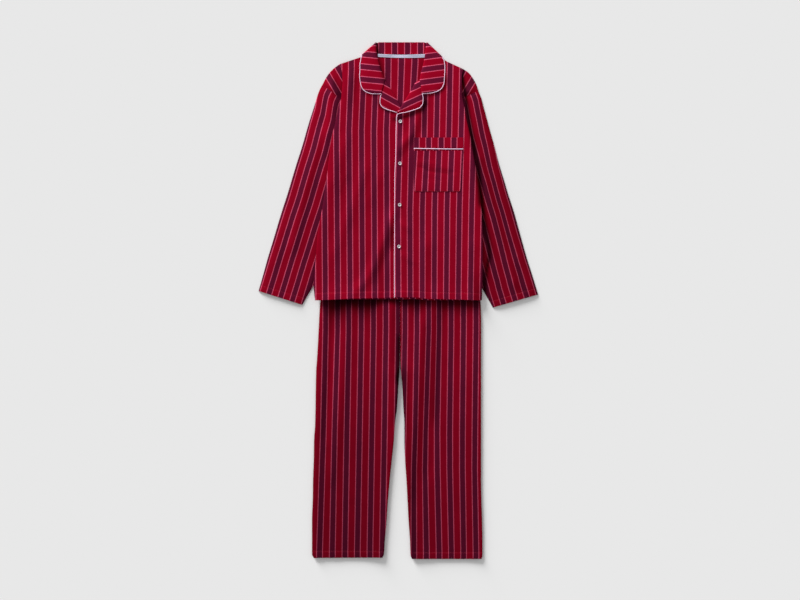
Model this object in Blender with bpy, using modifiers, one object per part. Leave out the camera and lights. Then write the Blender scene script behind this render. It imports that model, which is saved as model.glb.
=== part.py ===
"""Striped flannel pyjama set laid flat: the jacket lies over the top of its trousers.

Plan sizes are in millimetres from the jacket's centre line (x) and its hem (y), with the
collar at +Y and the wearer's left at +X. Each panel is laid in turn on what is beneath it.
"""
import math
from collections import namedtuple

import bmesh
import bpy
import numpy as np

MM = 0.001

# Cloth and notions
WALL = 1.2                    # flannel panel, with its nap
SEAM = 0.3                    # room left between sewn pieces
BED = 0.45                    # room between a panel and what it lies on
COLLAR_BED = 0.60             # the same below the collar
SLEEVE_SLIT = 0.4             # least room inside a flattened sleeve or waistband
SLEEVE_PUFF = 1.8
LEG_PUFF = 2.2
FRONT_PUFF = 0.9
PIPING_RADIUS = 1.4
NOTCH_ROOM = 4.0              # a piping starts this far from the notch
PIPING_SIDE = PIPING_RADIUS + 0.8   # from a trimmed edge to its piping's centre
CORD_DROP = 0.5               # the front's piping ends this far below the hem
ARMHOLE_ROOM = 0.45           # between the body's side and the sleeve sewn to it
TUBE_EDGE = 0.5               # a flattened tube's edge narrows over this much and the wall
BUTTON_RADIUS = 5.0
BUTTON_HEIGHT = 2.4
BUTTON_STEPS = 20
# The button's section from its dished middle to its foot, in shares of its radius and height
BUTTON_OUTLINE = ((0.0, 0.7), (0.62, 0.7), (0.78, 1.0), (0.92, 1.0), (1.0, 0.7), (1.0, 0.35),
                  (0.8, 0.0), (0.0, 0.0))
BUTTON_PLACES = [(1, 518), (0, 396), (-1, 276), (-3, 155)]
COLLAR_TURN = 4.0             # how far the shoulder fold's round reaches in
TURN_STEPS = 5

# Mesh steps
ROW_STEP = 36.0
FRONT_COLUMNS = 9
BACK_COLUMNS = 15
LEG_COLUMNS = 9
SLEEVE_COLUMNS = 7
COLLAR_COLUMNS = 4
LAPEL_COLUMNS = 4
POCKET_COLUMNS = 5
TAPE_COLUMNS = 2
CORD_STEP = 9.0               # along a piping
POCKET_CORD_STEP = 18.0
CORD_MARKS = 12               # places at which each step of a piping marks what lies below it
ROW_SLACK = 0.4               # a gap this share of a step longer than a step is not divided
CELL = 1.0                    # raster on which the layers are laid
REACH_X = 430.0
REACH_Y = 780.0

COLOURS = {
    "flannel": (0.30, 0.004, 0.018, 1.0),
    "piping": (0.72, 0.68, 0.76, 1.0),
    "tape": (0.60, 0.68, 0.80, 1.0),
    "button": (0.62, 0.62, 0.60, 1.0),
}
ROUGHNESS = {"flannel": 0.9, "piping": 0.6, "tape": 0.7, "button": 0.3}

# One row for each level of the jacket, shoulder to hem: side, front edge, front edge, side.
JacketRow = namedtuple("JacketRow", "right_side right_edge left_edge left_side")
JACKET = [
    JacketRow((-175, 684), (-70, 719), (75, 720), (183, 670)),
    JacketRow((-168, 660), (-66, 702), (73, 700), (179, 644)),
    JacketRow((-167, 632), (-56, 671), (66, 673), (179, 621)),
    JacketRow((-169, 606), (-44, 639), (58, 639), (180, 597)),
    JacketRow((-171, 583), (-28, 614), (36, 615), (183, 577)),
    JacketRow((-173, 560), (-12, 586), (19, 586), (186, 557)),
    JacketRow((-174, 534), (3, 558), (0, 555), (188, 534)),
    JacketRow((-180, 502), (14, 528), (-10, 528), (200, 502)),
    JacketRow((-195, 470), (16, 478), (-12, 478), (207, 467)),
    JacketRow((-205, 420), (16, 420), (-13, 420), (213, 418)),
    JacketRow((-212, 357), (16, 357), (-14, 357), (225, 354)),
    JacketRow((-225, 267), (16, 267), (-14, 267), (235, 267)),
    JacketRow((-239, 188), (16, 188), (-14, 188), (239, 188)),
    JacketRow((-244, 116), (16, 116), (-16, 116), (239, 116)),
    JacketRow((-250, 41), (15, 42), (-17, 42), (238, 38)),
    JacketRow((-246, -1), (14, 5), (-17, 6), (237, 1)),
]
ARMHOLE_ROWS = 7              # the first rows, which the sleeve is sewn along
SLEEVE_TOP_ROWS = 3           # of these, the ones along the sleeve's first row
NECKLINE = [(-70, 719), (-62, 711), (0, 709), (64, 711), (75, 720)]
SHOULDER_BEND = ((-111, 705), (127, 696))

# One row for each level of a sleeve, shoulder to cuff. The first row runs along the top of the
# armhole, and the next ones end at the armhole's points, down to the underarm.
SleeveRow = namedtuple("SleeveRow", "outer inner")
SLEEVE_RIGHT = [
    SleeveRow((-175, 684), (-167, 632)),
    SleeveRow((-205, 658), (-169, 606)),
    SleeveRow((-222, 630), (-171, 583)),
    SleeveRow((-235, 605), (-173, 560)),
    SleeveRow((-243, 580), (-174, 534)),
    SleeveRow((-251, 555), (-170, 505)),
    SleeveRow((-264, 513), (-158, 458)),
    SleeveRow((-283, 447), (-151, 400)),
    SleeveRow((-298, 400), (-149, 345)),
    SleeveRow((-312, 354), (-152, 296)),
    SleeveRow((-326, 307), (-160, 252)),
    SleeveRow((-341, 261), (-174, 212)),
    SleeveRow((-355, 215), (-186, 170)),
    SleeveRow((-369, 168), (-202, 128)),
    SleeveRow((-383, 122), (-226, 84)),
    SleeveRow((-396, 75), (-254, 38)),
    SleeveRow((-410, 26), (-284, -14)),
]
SLEEVE_LEFT = [
    SleeveRow((183, 670), (179, 621)),
    SleeveRow((213, 640), (180, 597)),
    SleeveRow((226, 611), (183, 577)),
    SleeveRow((234, 588), (186, 557)),
    SleeveRow((241, 563), (188, 534)),
    SleeveRow((250, 530), (180, 500)),
    SleeveRow((262, 485), (166, 455)),
    SleeveRow((273, 447), (155, 400)),
    SleeveRow((285, 400), (149, 345)),
    SleeveRow((299, 354), (151, 292)),
    SleeveRow((313, 307), (158, 248)),
    SleeveRow((328, 261), (172, 203)),
    SleeveRow((341, 215), (184, 163)),
    SleeveRow((354, 168), (200, 118)),
    SleeveRow((367, 122), (219, 72)),
    SleeveRow((382, 75), (240, 32)),
    SleeveRow((400, 16), (270, -22)),
]

# One row for each section of the collar's front, notch to shoulder: seam or roll, then edge.
# The last row is the fold where the collar passes behind the neck.
CollarRow = namedtuple("CollarRow", "roll edge")
COLLAR_RIGHT = [
    CollarRow((-54, 599), (-78, 599)),
    CollarRow((-52, 607), (-97, 604)),
    CollarRow((-49, 618), (-109, 615)),
    CollarRow((-46, 629), (-114, 632)),
    CollarRow((-44, 639), (-116, 650)),
    CollarRow((-53, 663), (-115, 668)),
    CollarRow((-60, 684), (-115, 683)),
    CollarRow((-64, 705), (-113, 694)),
    CollarRow((-67, 726), (-112, 701)),
    CollarRow((-70, 748), (-112, 711)),
]
COLLAR_LEFT = [
    CollarRow((64, 599), (87, 601)),
    CollarRow((62, 607), (107, 606)),
    CollarRow((61, 618), (121, 616)),
    CollarRow((59, 629), (127, 632)),
    CollarRow((58, 639), (128, 650)),
    CollarRow((62, 663), (129, 666)),
    CollarRow((67, 680), (129, 679)),
    CollarRow((71, 700), (128, 687)),
    CollarRow((74, 724), (127, 694)),
    CollarRow((79, 748), (125, 704)),
]
# The part of the collar that is folded down behind the neck.
COLLAR_BACK = [
    CollarRow((-60, 748), (-90, 699)),
    CollarRow((-40, 748), (-55, 696)),
    CollarRow((-14, 748), (-18, 695)),
    CollarRow((20, 748), (24, 695)),
    CollarRow((46, 748), (64, 694)),
    CollarRow((68, 748), (102, 694)),
]
STAND = [CollarRow((-63, 747.5), (-70, 712.5)), CollarRow((0, 747.5), (0, 710.5)),
         CollarRow((71, 747.5), (74, 712.5))]
TAPE = [CollarRow((-61, 716), (-61, 705)), CollarRow((-30, 714), (-30, 702.5)),
        CollarRow((0, 713), (0, 701.5)), CollarRow((32, 714), (32, 702.5)),
        CollarRow((63, 716), (61, 705))]

# One row for each section of a lapel, collar seam to the foot of the neck opening.
LAPEL_RIGHT = [
    CollarRow((-43, 637), (-52, 598)),
    CollarRow((-35, 626), (-57, 587)),
    CollarRow((-27, 612), (-58, 574)),
    CollarRow((-18, 597), (-52, 562)),
    CollarRow((-9, 582), (-38, 554)),
    CollarRow((-3, 570), (-22, 549)),
    CollarRow((4, 557), (-8, 545)),
]
LAPEL_LEFT = [
    CollarRow((57, 637), (63, 598)),
    CollarRow((44, 629), (66, 586)),
    CollarRow((37, 616), (65, 571)),
    CollarRow((30, 604), (57, 559)),
    CollarRow((20, 588), (39, 552)),
    CollarRow((10, 571), (19, 546)),
    CollarRow((1, 557), (3, 543)),
    CollarRow((-6, 548), (-8, 540)),
]

# One row for each level of the trousers: where the outer edges and the inner seams lie.
LegRow = namedtuple("LegRow", "y right_outer right_inner left_inner left_outer")
LEGS = [
    LegRow(139, -178, -0.2, 0.2, 178),
    LegRow(99, -196, -0.2, 0.2, 196),
    LegRow(44, -223, -0.2, 0.2, 223),
    LegRow(-17, -232, -0.2, 0.2, 234),
    LegRow(-72, -235, -0.2, 0.2, 235),
    LegRow(-130, -238, -0.3, 0.3, 235),
    LegRow(-177, -241, -0.8, 0.8, 235),
    LegRow(-209, -243, -2, 3, 235),
    LegRow(-252, -244, -5, 7, 235),
    LegRow(-313, -245, -9, 10, 235),
    LegRow(-360, -246, -15, 13, 235),
    LegRow(-406, -249, -18, 13, 235),
    LegRow(-464, -250, -24, 15, 235),
    LegRow(-522, -252, -30, 19, 235),
    LegRow(-580, -253, -35, 22, 236),
    LegRow(-638, -255, -39, 25, 238),
    LegRow(-696, -255, -44, 29, 239),
    LegRow(-738, -255, -47, 31, 239),
    LegRow(-749, -245, -63, 40, 236),
]
LEFT_HEM_DROP = 3.0           # the left leg hangs this much lower
HEM_LEVEL = -700              # leg rows below this are hem rows
UNDER_JACKET = (-20, -110)    # the legs' folds rise between these levels, below the jacket
WAISTBAND = [SleeveRow((-173, 174), (173, 174)), SleeveRow((-175, 157), (175, 157)),
             SleeveRow((-178, 139.6), (178, 139.6))]

# Pocket, on the wearer's left chest
POCKET = [CollarRow((40, 433), (184, 433)), CollarRow((39, 396), (181, 396)),
          CollarRow((39, 358), (178.5, 358)), CollarRow((39.5, 319), (176, 319)),
          CollarRow((44, 314.5), (172, 314.5))]
POCKET_BAND = [CollarRow((40, 471), (183, 471)), CollarRow((40, 441), (184, 441))]
POCKET_PIPING = [(40, 438.4), (88, 438.1), (136, 437.8), (184, 437.4)]

# The largest folds: one row for each soft ridge, from end to end.
Fold = namedtuple("Fold", "start end half_width height")
JACKET_FOLDS = [
    Fold((-112, 360), (-100, 30), 34, 2.4),
    Fold((-60, 210), (-62, 40), 22, 1.6),
    Fold((150, 260), (140, 30), 36, 1.8),
    Fold((-120, 600), (-150, 470), 24, 1.4),
    Fold((120, 600), (160, 480), 24, 1.4),
]
LEG_FOLDS = [
    Fold((-204, -100), (-210, -540), 20, 3.0),
    Fold((-110, -300), (-130, -720), 40, 2.0),
    Fold((112, -40), (98, -520), 22, 3.6),
    Fold((190, -200), (185, -700), 26, 1.6),
]
SLEEVE_FOLDS = [
    Fold((-232, 640), (-180, 610), 18, 1.8),
    Fold((-290, 420), (-330, 260), 26, 1.6),
    Fold((236, 636), (190, 606), 18, 1.8),
    Fold((285, 420), (330, 240), 26, 1.6),
]


def fold_height(plan, folds):
    """Height that the folds add at each plan point."""
    total = np.zeros(len(plan))
    for fold in folds:
        start = np.array(fold.start, float)
        along = np.array(fold.end, float) - start
        share = np.clip((plan - start) @ along / (along @ along), 0.0, 1.0)
        away = np.linalg.norm(plan - start - share[:, None] * along, axis=1)
        total += fold.height * np.exp(-(away / fold.half_width) ** 2)
    return total


def spaced(rows, step=ROW_STEP):
    """Rows of plan points, with straight ones added where two lie further apart than step."""
    rows = [np.array(row, float) for row in rows]
    result = [rows[0]]
    for before, after in zip(rows, rows[1:]):
        reach = np.linalg.norm(after - before, axis=1).max()
        parts = max(1, math.ceil(reach / step - ROW_SLACK))
        result += [before + (after - before) * part / parts for part in range(1, parts + 1)]
    return result


def panel_grid(rows, columns):
    """Plan points of a panel whose rows run straight between two edges."""
    shares = np.linspace(0.0, 1.0, columns)[None, :, None]
    ends = np.array(spaced(rows))
    return ends[:, :1] * (1 - shares) + ends[:, 1:] * shares


def halves(points, a, b, c, d):
    """A four-sided cell as two triangles, cut along its shorter diagonal."""
    if np.linalg.norm(points[a] - points[c]) <= np.linalg.norm(points[b] - points[d]):
        return [(a, b, c), (a, c, d)]
    return [(a, b, d), (b, c, d)]


def grid_triangles(grid):
    """Two triangles for each cell of a grid of points."""
    rows, columns = grid.shape[:2]
    points = grid.reshape(rows * columns, -1)
    triangles = []
    for row in range(rows - 1):
        for column in range(columns - 1):
            a = row * columns + column
            b = a + columns
            triangles += halves(points, a, b, b + 1, a + 1)
    return np.array(triangles)


class Pile:
    """Top height of everything laid so far, in millimetres, on a square raster."""

    def __init__(self):
        size = (int(2 * REACH_X / CELL), int(2 * REACH_Y / CELL))
        self.top = np.zeros(size)

    def cells_under(self, plan, triangles):
        """Raster cells whose centres lie in each triangle, with corner numbers and weights."""
        cells, corners, weights = [], [], []
        spot = (plan + (REACH_X, REACH_Y)) / CELL - 0.5
        for triangle in triangles:
            a, b, c = spot[triangle]
            low = np.ceil(np.minimum(np.minimum(a, b), c)).astype(int)
            high = np.floor(np.maximum(np.maximum(a, b), c)).astype(int)
            if (high < low).any():
                continue
            grid = np.mgrid[low[0]:high[0] + 1, low[1]:high[1] + 1].reshape(2, -1).T
            area = (b[0] - a[0]) * (c[1] - a[1]) - (b[1] - a[1]) * (c[0] - a[0])
            if abs(area) < 1e-9:
                continue
            p = grid - a
            second = (p[:, 0] * (c[1] - a[1]) - p[:, 1] * (c[0] - a[0])) / area
            third = ((b[0] - a[0]) * p[:, 1] - (b[1] - a[1]) * p[:, 0]) / area
            first = 1 - second - third
            inside = (first >= 0) & (second >= 0) & (third >= 0)
            cells.append(grid[inside])
            corners.append(np.repeat([triangle], inside.sum(), axis=0))
            weights.append(np.stack([first, second, third], 1)[inside])
        return np.vstack(cells), np.vstack(corners), np.vstack(weights)

    def lay(self, plan, triangles, extra=0.0):
        """Underside heights that keep a sheet clear of the pile, with extra height on top."""
        cells, corners, _ = self.cells_under(plan, triangles)
        needed = self.top[cells[:, 0], cells[:, 1]]
        needed = np.where(needed > 0, needed + BED, 0.0)
        base = np.zeros(len(plan))
        for corner in range(3):
            np.maximum.at(base, corners[:, corner], needed)
        return base + extra

    def add(self, plan, triangles, top):
        """Takes in a sheet whose top has the given heights."""
        cells, corners, weights = self.cells_under(plan, triangles)
        height = (weights * top[corners]).sum(1)
        np.maximum.at(self.top, (cells[:, 0], cells[:, 1]), height)

    def highest(self, point, reach):
        """Highest level within reach of a plan point."""
        low = ((np.array(point) - reach + (REACH_X, REACH_Y)) / CELL - 0.5)
        high = ((np.array(point) + reach + (REACH_X, REACH_Y)) / CELL - 0.5)
        low, high = np.floor(low).astype(int), np.ceil(high).astype(int)
        return self.top[low[0]:high[0] + 1, low[1]:high[1] + 1].max()

    def add_cord(self, path, radius):
        """Takes in a piping that follows a path of centre points."""
        for before, after in zip(path, path[1:]):
            for share in np.linspace(0, 1, CORD_MARKS):
                x, y, z = before + (after - before) * share
                cell = ((np.array((x, y)) + (REACH_X, REACH_Y)) / CELL).astype(int)
                near = self.top[cell[0] - 1:cell[0] + 2, cell[1] - 1:cell[1] + 2]
                np.maximum(near, z + radius, out=near)


def material_for(kind, name):
    material = bpy.data.materials.new(name)
    material.use_nodes = True
    shader = material.node_tree.nodes["Principled BSDF"]
    shader.inputs["Base Color"].default_value = COLOURS[kind]
    shader.inputs["Roughness"].default_value = ROUGHNESS[kind]
    shader.inputs["Metallic"].default_value = 0.0
    material.diffuse_color = COLOURS[kind]
    return material


def add_object(name, data, kind, parts):
    """Puts new data in the parts collection under its own material."""
    piece = bpy.data.objects.new(name, data)
    piece.data.materials.append(material_for(kind, name + "_finish"))
    parts.objects.link(piece)
    return piece


def mesh_object(name, points, faces, kind, parts):
    mesh = bpy.data.meshes.new(name)
    mesh.from_pydata([tuple(point) for point in np.array(points) * MM], [], faces)
    mesh.update()
    return add_object(name, mesh, kind, parts)


def sheet(name, plan, under, triangles, kind, parts):
    """A panel: its underside raised by the cloth's wall into a closed solid."""
    mesh = bpy.data.meshes.new(name)
    cloth = bmesh.new()
    points = np.column_stack([plan, under]) * MM
    verts = [cloth.verts.new(point) for point in points]
    for triangle in triangles:
        cloth.faces.new([verts[index] for index in triangle])
    raised = bmesh.ops.extrude_face_region(cloth, geom=cloth.faces[:], use_keep_orig=True)
    upper = [item for item in raised["geom"] if isinstance(item, bmesh.types.BMVert)]
    bmesh.ops.translate(cloth, verts=upper, vec=(0, 0, WALL * MM))
    bmesh.ops.recalc_face_normals(cloth, faces=cloth.faces)
    cloth.to_mesh(mesh)
    cloth.free()
    return add_object(name, mesh, kind, parts)


def laid_panel(name, grid, pile, kind, parts, extra=0.0):
    """Lays a grid of plan points on the pile as one panel."""
    plan = grid.reshape(-1, 2)
    triangles = grid_triangles(grid)
    under = pile.lay(plan, triangles, extra)
    sheet(name, plan, under, triangles, kind, parts)
    pile.add(plan, triangles, under + WALL)
    return plan, under


def puffed(grid, amount):
    """Height of the air under a panel: none at its side edges, most between them."""
    rows, columns = grid.shape[:2]
    across = np.linspace(-1.0, 1.0, columns)
    return np.tile(amount * (1 - np.abs(across) ** 3), rows)


def tube(name, rows, inner_path, kind, parts, puff, folds):
    """A flattened tube: closed rings outside, and the same rings one wall further in."""
    outer_rings, inner_rings, plans, tops = [], [], [], []
    for number, (outer, inner) in enumerate(spaced(rows)):
        width = np.linalg.norm(inner - outer)
        edge = WALL + TUBE_EDGE
        insets = [edge, *np.linspace(0, width, SLEEVE_COLUMNS)[1:-1], width - edge]
        shares = np.array(insets) / width
        line = outer + shares[:, None] * (inner - outer)
        ends = np.array([outer, inner])
        if number == 0 and inner_path is not None:
            line = along_path(inner_path, shares)
            ends = along_path(inner_path, np.array([0.0, 1.0]))
        slit = SLEEVE_SLIT + puff * (1 - np.abs(2 * shares - 1) ** 3)
        slit = slit + fold_height(line, folds)
        along = (inner - outer) / width
        middle = WALL + SLEEVE_SLIT / 2
        outer_rings.append(ring(ends[0], line, ends[1], np.zeros(len(line)),
                                2 * WALL + slit, middle))
        inner_rings.append(ring(ends[0] + WALL * along, line, ends[1] - WALL * along,
                                np.full(len(line), WALL), WALL + slit, middle))
        plans.append(np.vstack([ends[:1], line, ends[1:]]))
        tops.append(np.concatenate([[middle], 2 * WALL + slit, [middle]]))
    loops = outer_rings + inner_rings[::-1]
    count = len(loops[0])
    points = np.vstack(loops)
    faces = []
    for level in range(len(loops)):
        following = (level + 1) % len(loops)
        for spot in range(count):
            beside = (spot + 1) % count
            faces += halves(points, level * count + spot, level * count + beside,
                            following * count + beside, following * count + spot)
    piece = mesh_object(name, points, faces, kind, parts)
    settled = bmesh.new()
    settled.from_mesh(piece.data)
    bmesh.ops.recalc_face_normals(settled, faces=settled.faces)
    settled.to_mesh(piece.data)
    settled.free()
    return np.array(plans), np.array(tops)


def ring(start, line, end, low, high, middle):
    """One closed loop: the start, along the bottom, the end, and back along the top."""
    bottom = np.column_stack([line, low])
    top = np.column_stack([line, high])[::-1]
    return np.vstack([[(*start, middle)], bottom, [(*end, middle)], top])


def along_path(path, shares):
    """Points at the given shares of a path's length."""
    path = np.array(path, float)
    steps = np.linalg.norm(np.diff(path, axis=0), axis=1)
    length = np.concatenate([[0], np.cumsum(steps)])
    wanted = shares * length[-1]
    return np.column_stack([np.interp(wanted, length, path[:, axis]) for axis in (0, 1)])


def moved_aside(path, distance):
    """A plan path moved to its left by a distance, with mitred corners."""
    path = np.array(path, float)
    steps = np.diff(path, axis=0)
    steps = steps / np.linalg.norm(steps, axis=1)[:, None]
    normals = np.column_stack([-steps[:, 1], steps[:, 0]])
    before = np.vstack([normals[:1], normals])
    after = np.vstack([normals, normals[-1:]])
    middle = before + after
    middle = middle / np.linalg.norm(middle, axis=1)[:, None]
    mitre = 1 / np.clip((middle * after).sum(1), 0.5, 1)
    return path + middle * (distance * mitre)[:, None]


def rounded(path, step=CORD_STEP):
    """The path with points added, so that a cord on it follows what it lies on."""
    rows = spaced([[point] for point in path], step)
    return np.array([row[0] for row in rows])


def shortened(path, length):
    """A plan path that starts a length further on."""
    path = [np.array(point, float) for point in path]
    first = path[1] - path[0]
    return [path[0] + first * (length / np.linalg.norm(first))] + path[1:]


def cord_on(path, pile):
    """Centre points of a piping that lies on the pile along a plan path."""
    levels = np.array([pile.highest(point, PIPING_RADIUS) for point in path])
    ahead = np.concatenate([levels[1:], levels[-1:]])
    behind = np.concatenate([levels[:1], levels[:-1]])
    levels = np.maximum(np.maximum(ahead, behind), levels)
    return np.column_stack([path, levels + PIPING_RADIUS + SEAM])


def piping(name, points, parts):
    """A piping: a round cord on its path of centre points."""
    cord = bpy.data.curves.new(name, "CURVE")
    cord.dimensions = "3D"
    cord.bevel_depth = PIPING_RADIUS * MM
    cord.bevel_resolution = 1
    cord.use_fill_caps = True
    run = cord.splines.new("POLY")
    run.points.add(len(points) - 1)
    for spot, point in zip(run.points, points):
        spot.co = (*(point * MM), 1.0)
    return add_object(name, cord, "piping", parts)


def left_level(row):
    """Level of a row on the left leg, which hangs lower at its hem."""
    return row.y - LEFT_HEM_DROP * (row.y < HEM_LEVEL)


def build_trousers(pile, parts):
    """Back panels on the floor, front panels on them, and the waistband at their top."""
    grids = {"right": panel_grid([((row.right_outer, row.y), (row.right_inner, row.y))
                                  for row in LEGS], LEG_COLUMNS),
             "left": panel_grid([((row.left_inner, left_level(row)),
                                  (row.left_outer, left_level(row))) for row in LEGS], LEG_COLUMNS)}
    for side, grid in grids.items():
        laid_panel("leg_back_" + side, grid, pile, "flannel", parts)
    for side, grid in grids.items():
        plan = grid.reshape(-1, 2)
        below_jacket = np.interp(-plan[:, 1], (-UNDER_JACKET[0], -UNDER_JACKET[1]), (0, 1))
        extra = (puffed(grid, LEG_PUFF) + fold_height(plan, LEG_FOLDS)) * below_jacket
        laid_panel("leg_front_" + side, grid, pile, "flannel", parts, extra)
    plans, tops = tube("waistband", WAISTBAND, None, "flannel", parts, 0.0, [])
    register_tube(pile, plans, tops)


def register_tube(pile, plans, tops):
    pile.add(plans.reshape(-1, 2), grid_triangles(plans), tops.reshape(-1))


def build_sleeves(pile, parts):
    """Each sleeve starts along its armhole and runs under the body's side."""
    for name, rows, side, sign in (("sleeve_right", SLEEVE_RIGHT, "right_side", -1),
                                   ("sleeve_left", SLEEVE_LEFT, "left_side", 1)):
        armhole = [np.array(getattr(row, side), float) for row in JACKET[:ARMHOLE_ROWS]]
        path = moved_aside(armhole, sign * ARMHOLE_ROOM)
        beside = {tuple(point): moved for point, moved in zip(armhole, path)}
        rows = [SleeveRow(row.outer, beside.get(row.inner, row.inner)) for row in rows]
        top = path[:SLEEVE_TOP_ROWS]
        plans, tops = tube(name, rows, top, "flannel", parts, SLEEVE_PUFF, SLEEVE_FOLDS)
        register_tube(pile, plans, tops)


def back_grid():
    """The back panel: its first row follows the shoulders and the neckline."""
    sides = np.array(spaced([(row.right_side, row.left_side) for row in JACKET]))
    top_line = [JACKET[0].right_side, SHOULDER_BEND[0], *NECKLINE, SHOULDER_BEND[1],
                JACKET[0].left_side]
    top_x = [point[0] for point in top_line]
    top_y = [point[1] for point in top_line]
    shares = np.linspace(0, 1, BACK_COLUMNS)
    grid = sides[:, :1] + (sides[:, 1:] - sides[:, :1]) * shares[None, :, None]
    width = JACKET[0].left_side[0] - JACKET[0].right_side[0]
    for corner in top_x[2:-2]:
        nearest = np.argmin(abs(grid[0, :, 0] - corner))
        grid[:, nearest, 0] += (corner - grid[0, nearest, 0]) * (sides[:, 1, 0] - sides[:, 0, 0]) / width
    rise = np.interp(grid[0, :, 0], top_x, top_y) - grid[0, :, 1]
    fade = np.clip(1 - np.arange(len(grid)) / (ARMHOLE_ROWS - 1), 0, 1)
    grid[:, :, 1] += fade[:, None] * rise
    return grid


def fold_inset(row, distance):
    """The collar's shoulder fold line moved in towards the neck's middle."""
    roll, edge = np.array(row.roll, float), np.array(row.edge, float)
    along = (edge - roll) / np.linalg.norm(edge - roll)
    inward = np.array([-along[1], along[0]])
    if inward[1] > 0:
        inward = -inward
    return CollarRow(roll + inward * distance, edge + inward * distance)


def collar_back_rows():
    """The collar's sections behind the neck, from fold to fold."""
    return [fold_inset(COLLAR_RIGHT[-1], COLLAR_TURN), *COLLAR_BACK,
            fold_inset(COLLAR_LEFT[-1], COLLAR_TURN)]


def build_collar_back(pile):
    """Registers the collar's folded-down part and its piping, which lie lowest at the neck."""
    grid = np.array([straight_section(row, COLLAR_COLUMNS) for row in collar_back_rows()])
    plan = grid.reshape(-1, 2)
    pile.add(plan, grid_triangles(grid), np.full(len(plan), WALL))
    cord = behind_neck_cord()
    pile.add_cord(cord, PIPING_RADIUS)


def behind_neck_cord():
    """Centre points of the collar piping where it passes behind the neck."""
    path = moved_aside([row.edge for row in collar_back_rows()], -PIPING_SIDE)
    return np.column_stack([path, np.full(len(path), PIPING_RADIUS)])


def straight_section(row, columns):
    shares = np.linspace(0, 1, columns)[:, None]
    roll, edge = np.array(row.roll, float), np.array(row.edge, float)
    return roll + shares * (edge - roll)


def collar_side(rows, outward, pile):
    """One front side of the collar with its round shoulder fold, and its piping's points."""
    front = rows[:-1] + [fold_inset(rows[-1], COLLAR_TURN)]
    outline = shortened([rows[0].roll] + [row.edge for row in front], NOTCH_ROOM)
    path = moved_aside(rounded(outline), outward * PIPING_SIDE)
    cord = cord_on(path, pile)
    grid = np.array([straight_section(row, COLLAR_COLUMNS) for row in front])
    triangles = grid_triangles(grid)
    plan = grid.reshape(-1, 2)
    under = pile.lay(plan, triangles) + COLLAR_BED - BED
    pile.add(plan, triangles, under + WALL)
    middle = (under + WALL / 2).reshape(grid.shape[:2])
    sections = [np.column_stack([grid[row], middle[row]]) for row in range(len(grid))]
    corners = []
    for step in range(1, TURN_STEPS):
        angle = math.pi * step / TURN_STEPS
        sections.append(turn_section(rows[-1], angle, middle[-1], WALL / 2))
        turned = turn_section(rows[-1], angle, cord[-1, 2], PIPING_RADIUS)
        along = (turned[-1] - turned[0]) / np.linalg.norm(turned[-1] - turned[0])
        corners.append(turned[-1] + along * PIPING_SIDE)
    return sections, np.vstack([cord, corners])


def turn_section(row, angle, top, floor):
    """A section of the round shoulder fold, at an angle from its top."""
    reach = COLLAR_TURN - WALL / 2
    line = straight_section(fold_inset(row, COLLAR_TURN - reach * math.sin(angle)), COLLAR_COLUMNS)
    level = floor + (top - floor) / 2 * (1 + math.cos(angle))
    return np.column_stack([line, np.full(COLLAR_COLUMNS, level)])


def build_collar(pile, parts):
    """One band of cloth: front, shoulder fold, behind the neck, fold and front again."""
    right, right_cord = collar_side(COLLAR_RIGHT, 1, pile)
    left, left_cord = collar_side(COLLAR_LEFT, -1, pile)
    behind = []
    for row in collar_back_rows():
        line = straight_section(row, COLLAR_COLUMNS)
        behind.append(np.column_stack([line, np.full(COLLAR_COLUMNS, WALL / 2)]))
    sections = right + behind + left[::-1]
    faces = [tuple(face) for face in grid_triangles(np.array(sections))]
    piece = mesh_object("collar", np.vstack(sections), faces, "flannel", parts)
    wall = piece.modifiers.new("cloth", "SOLIDIFY")
    wall.thickness = WALL * MM
    wall.offset = 0.0
    piping("collar_piping", np.vstack([right_cord, behind_neck_cord(), left_cord[::-1]]), parts)


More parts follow.
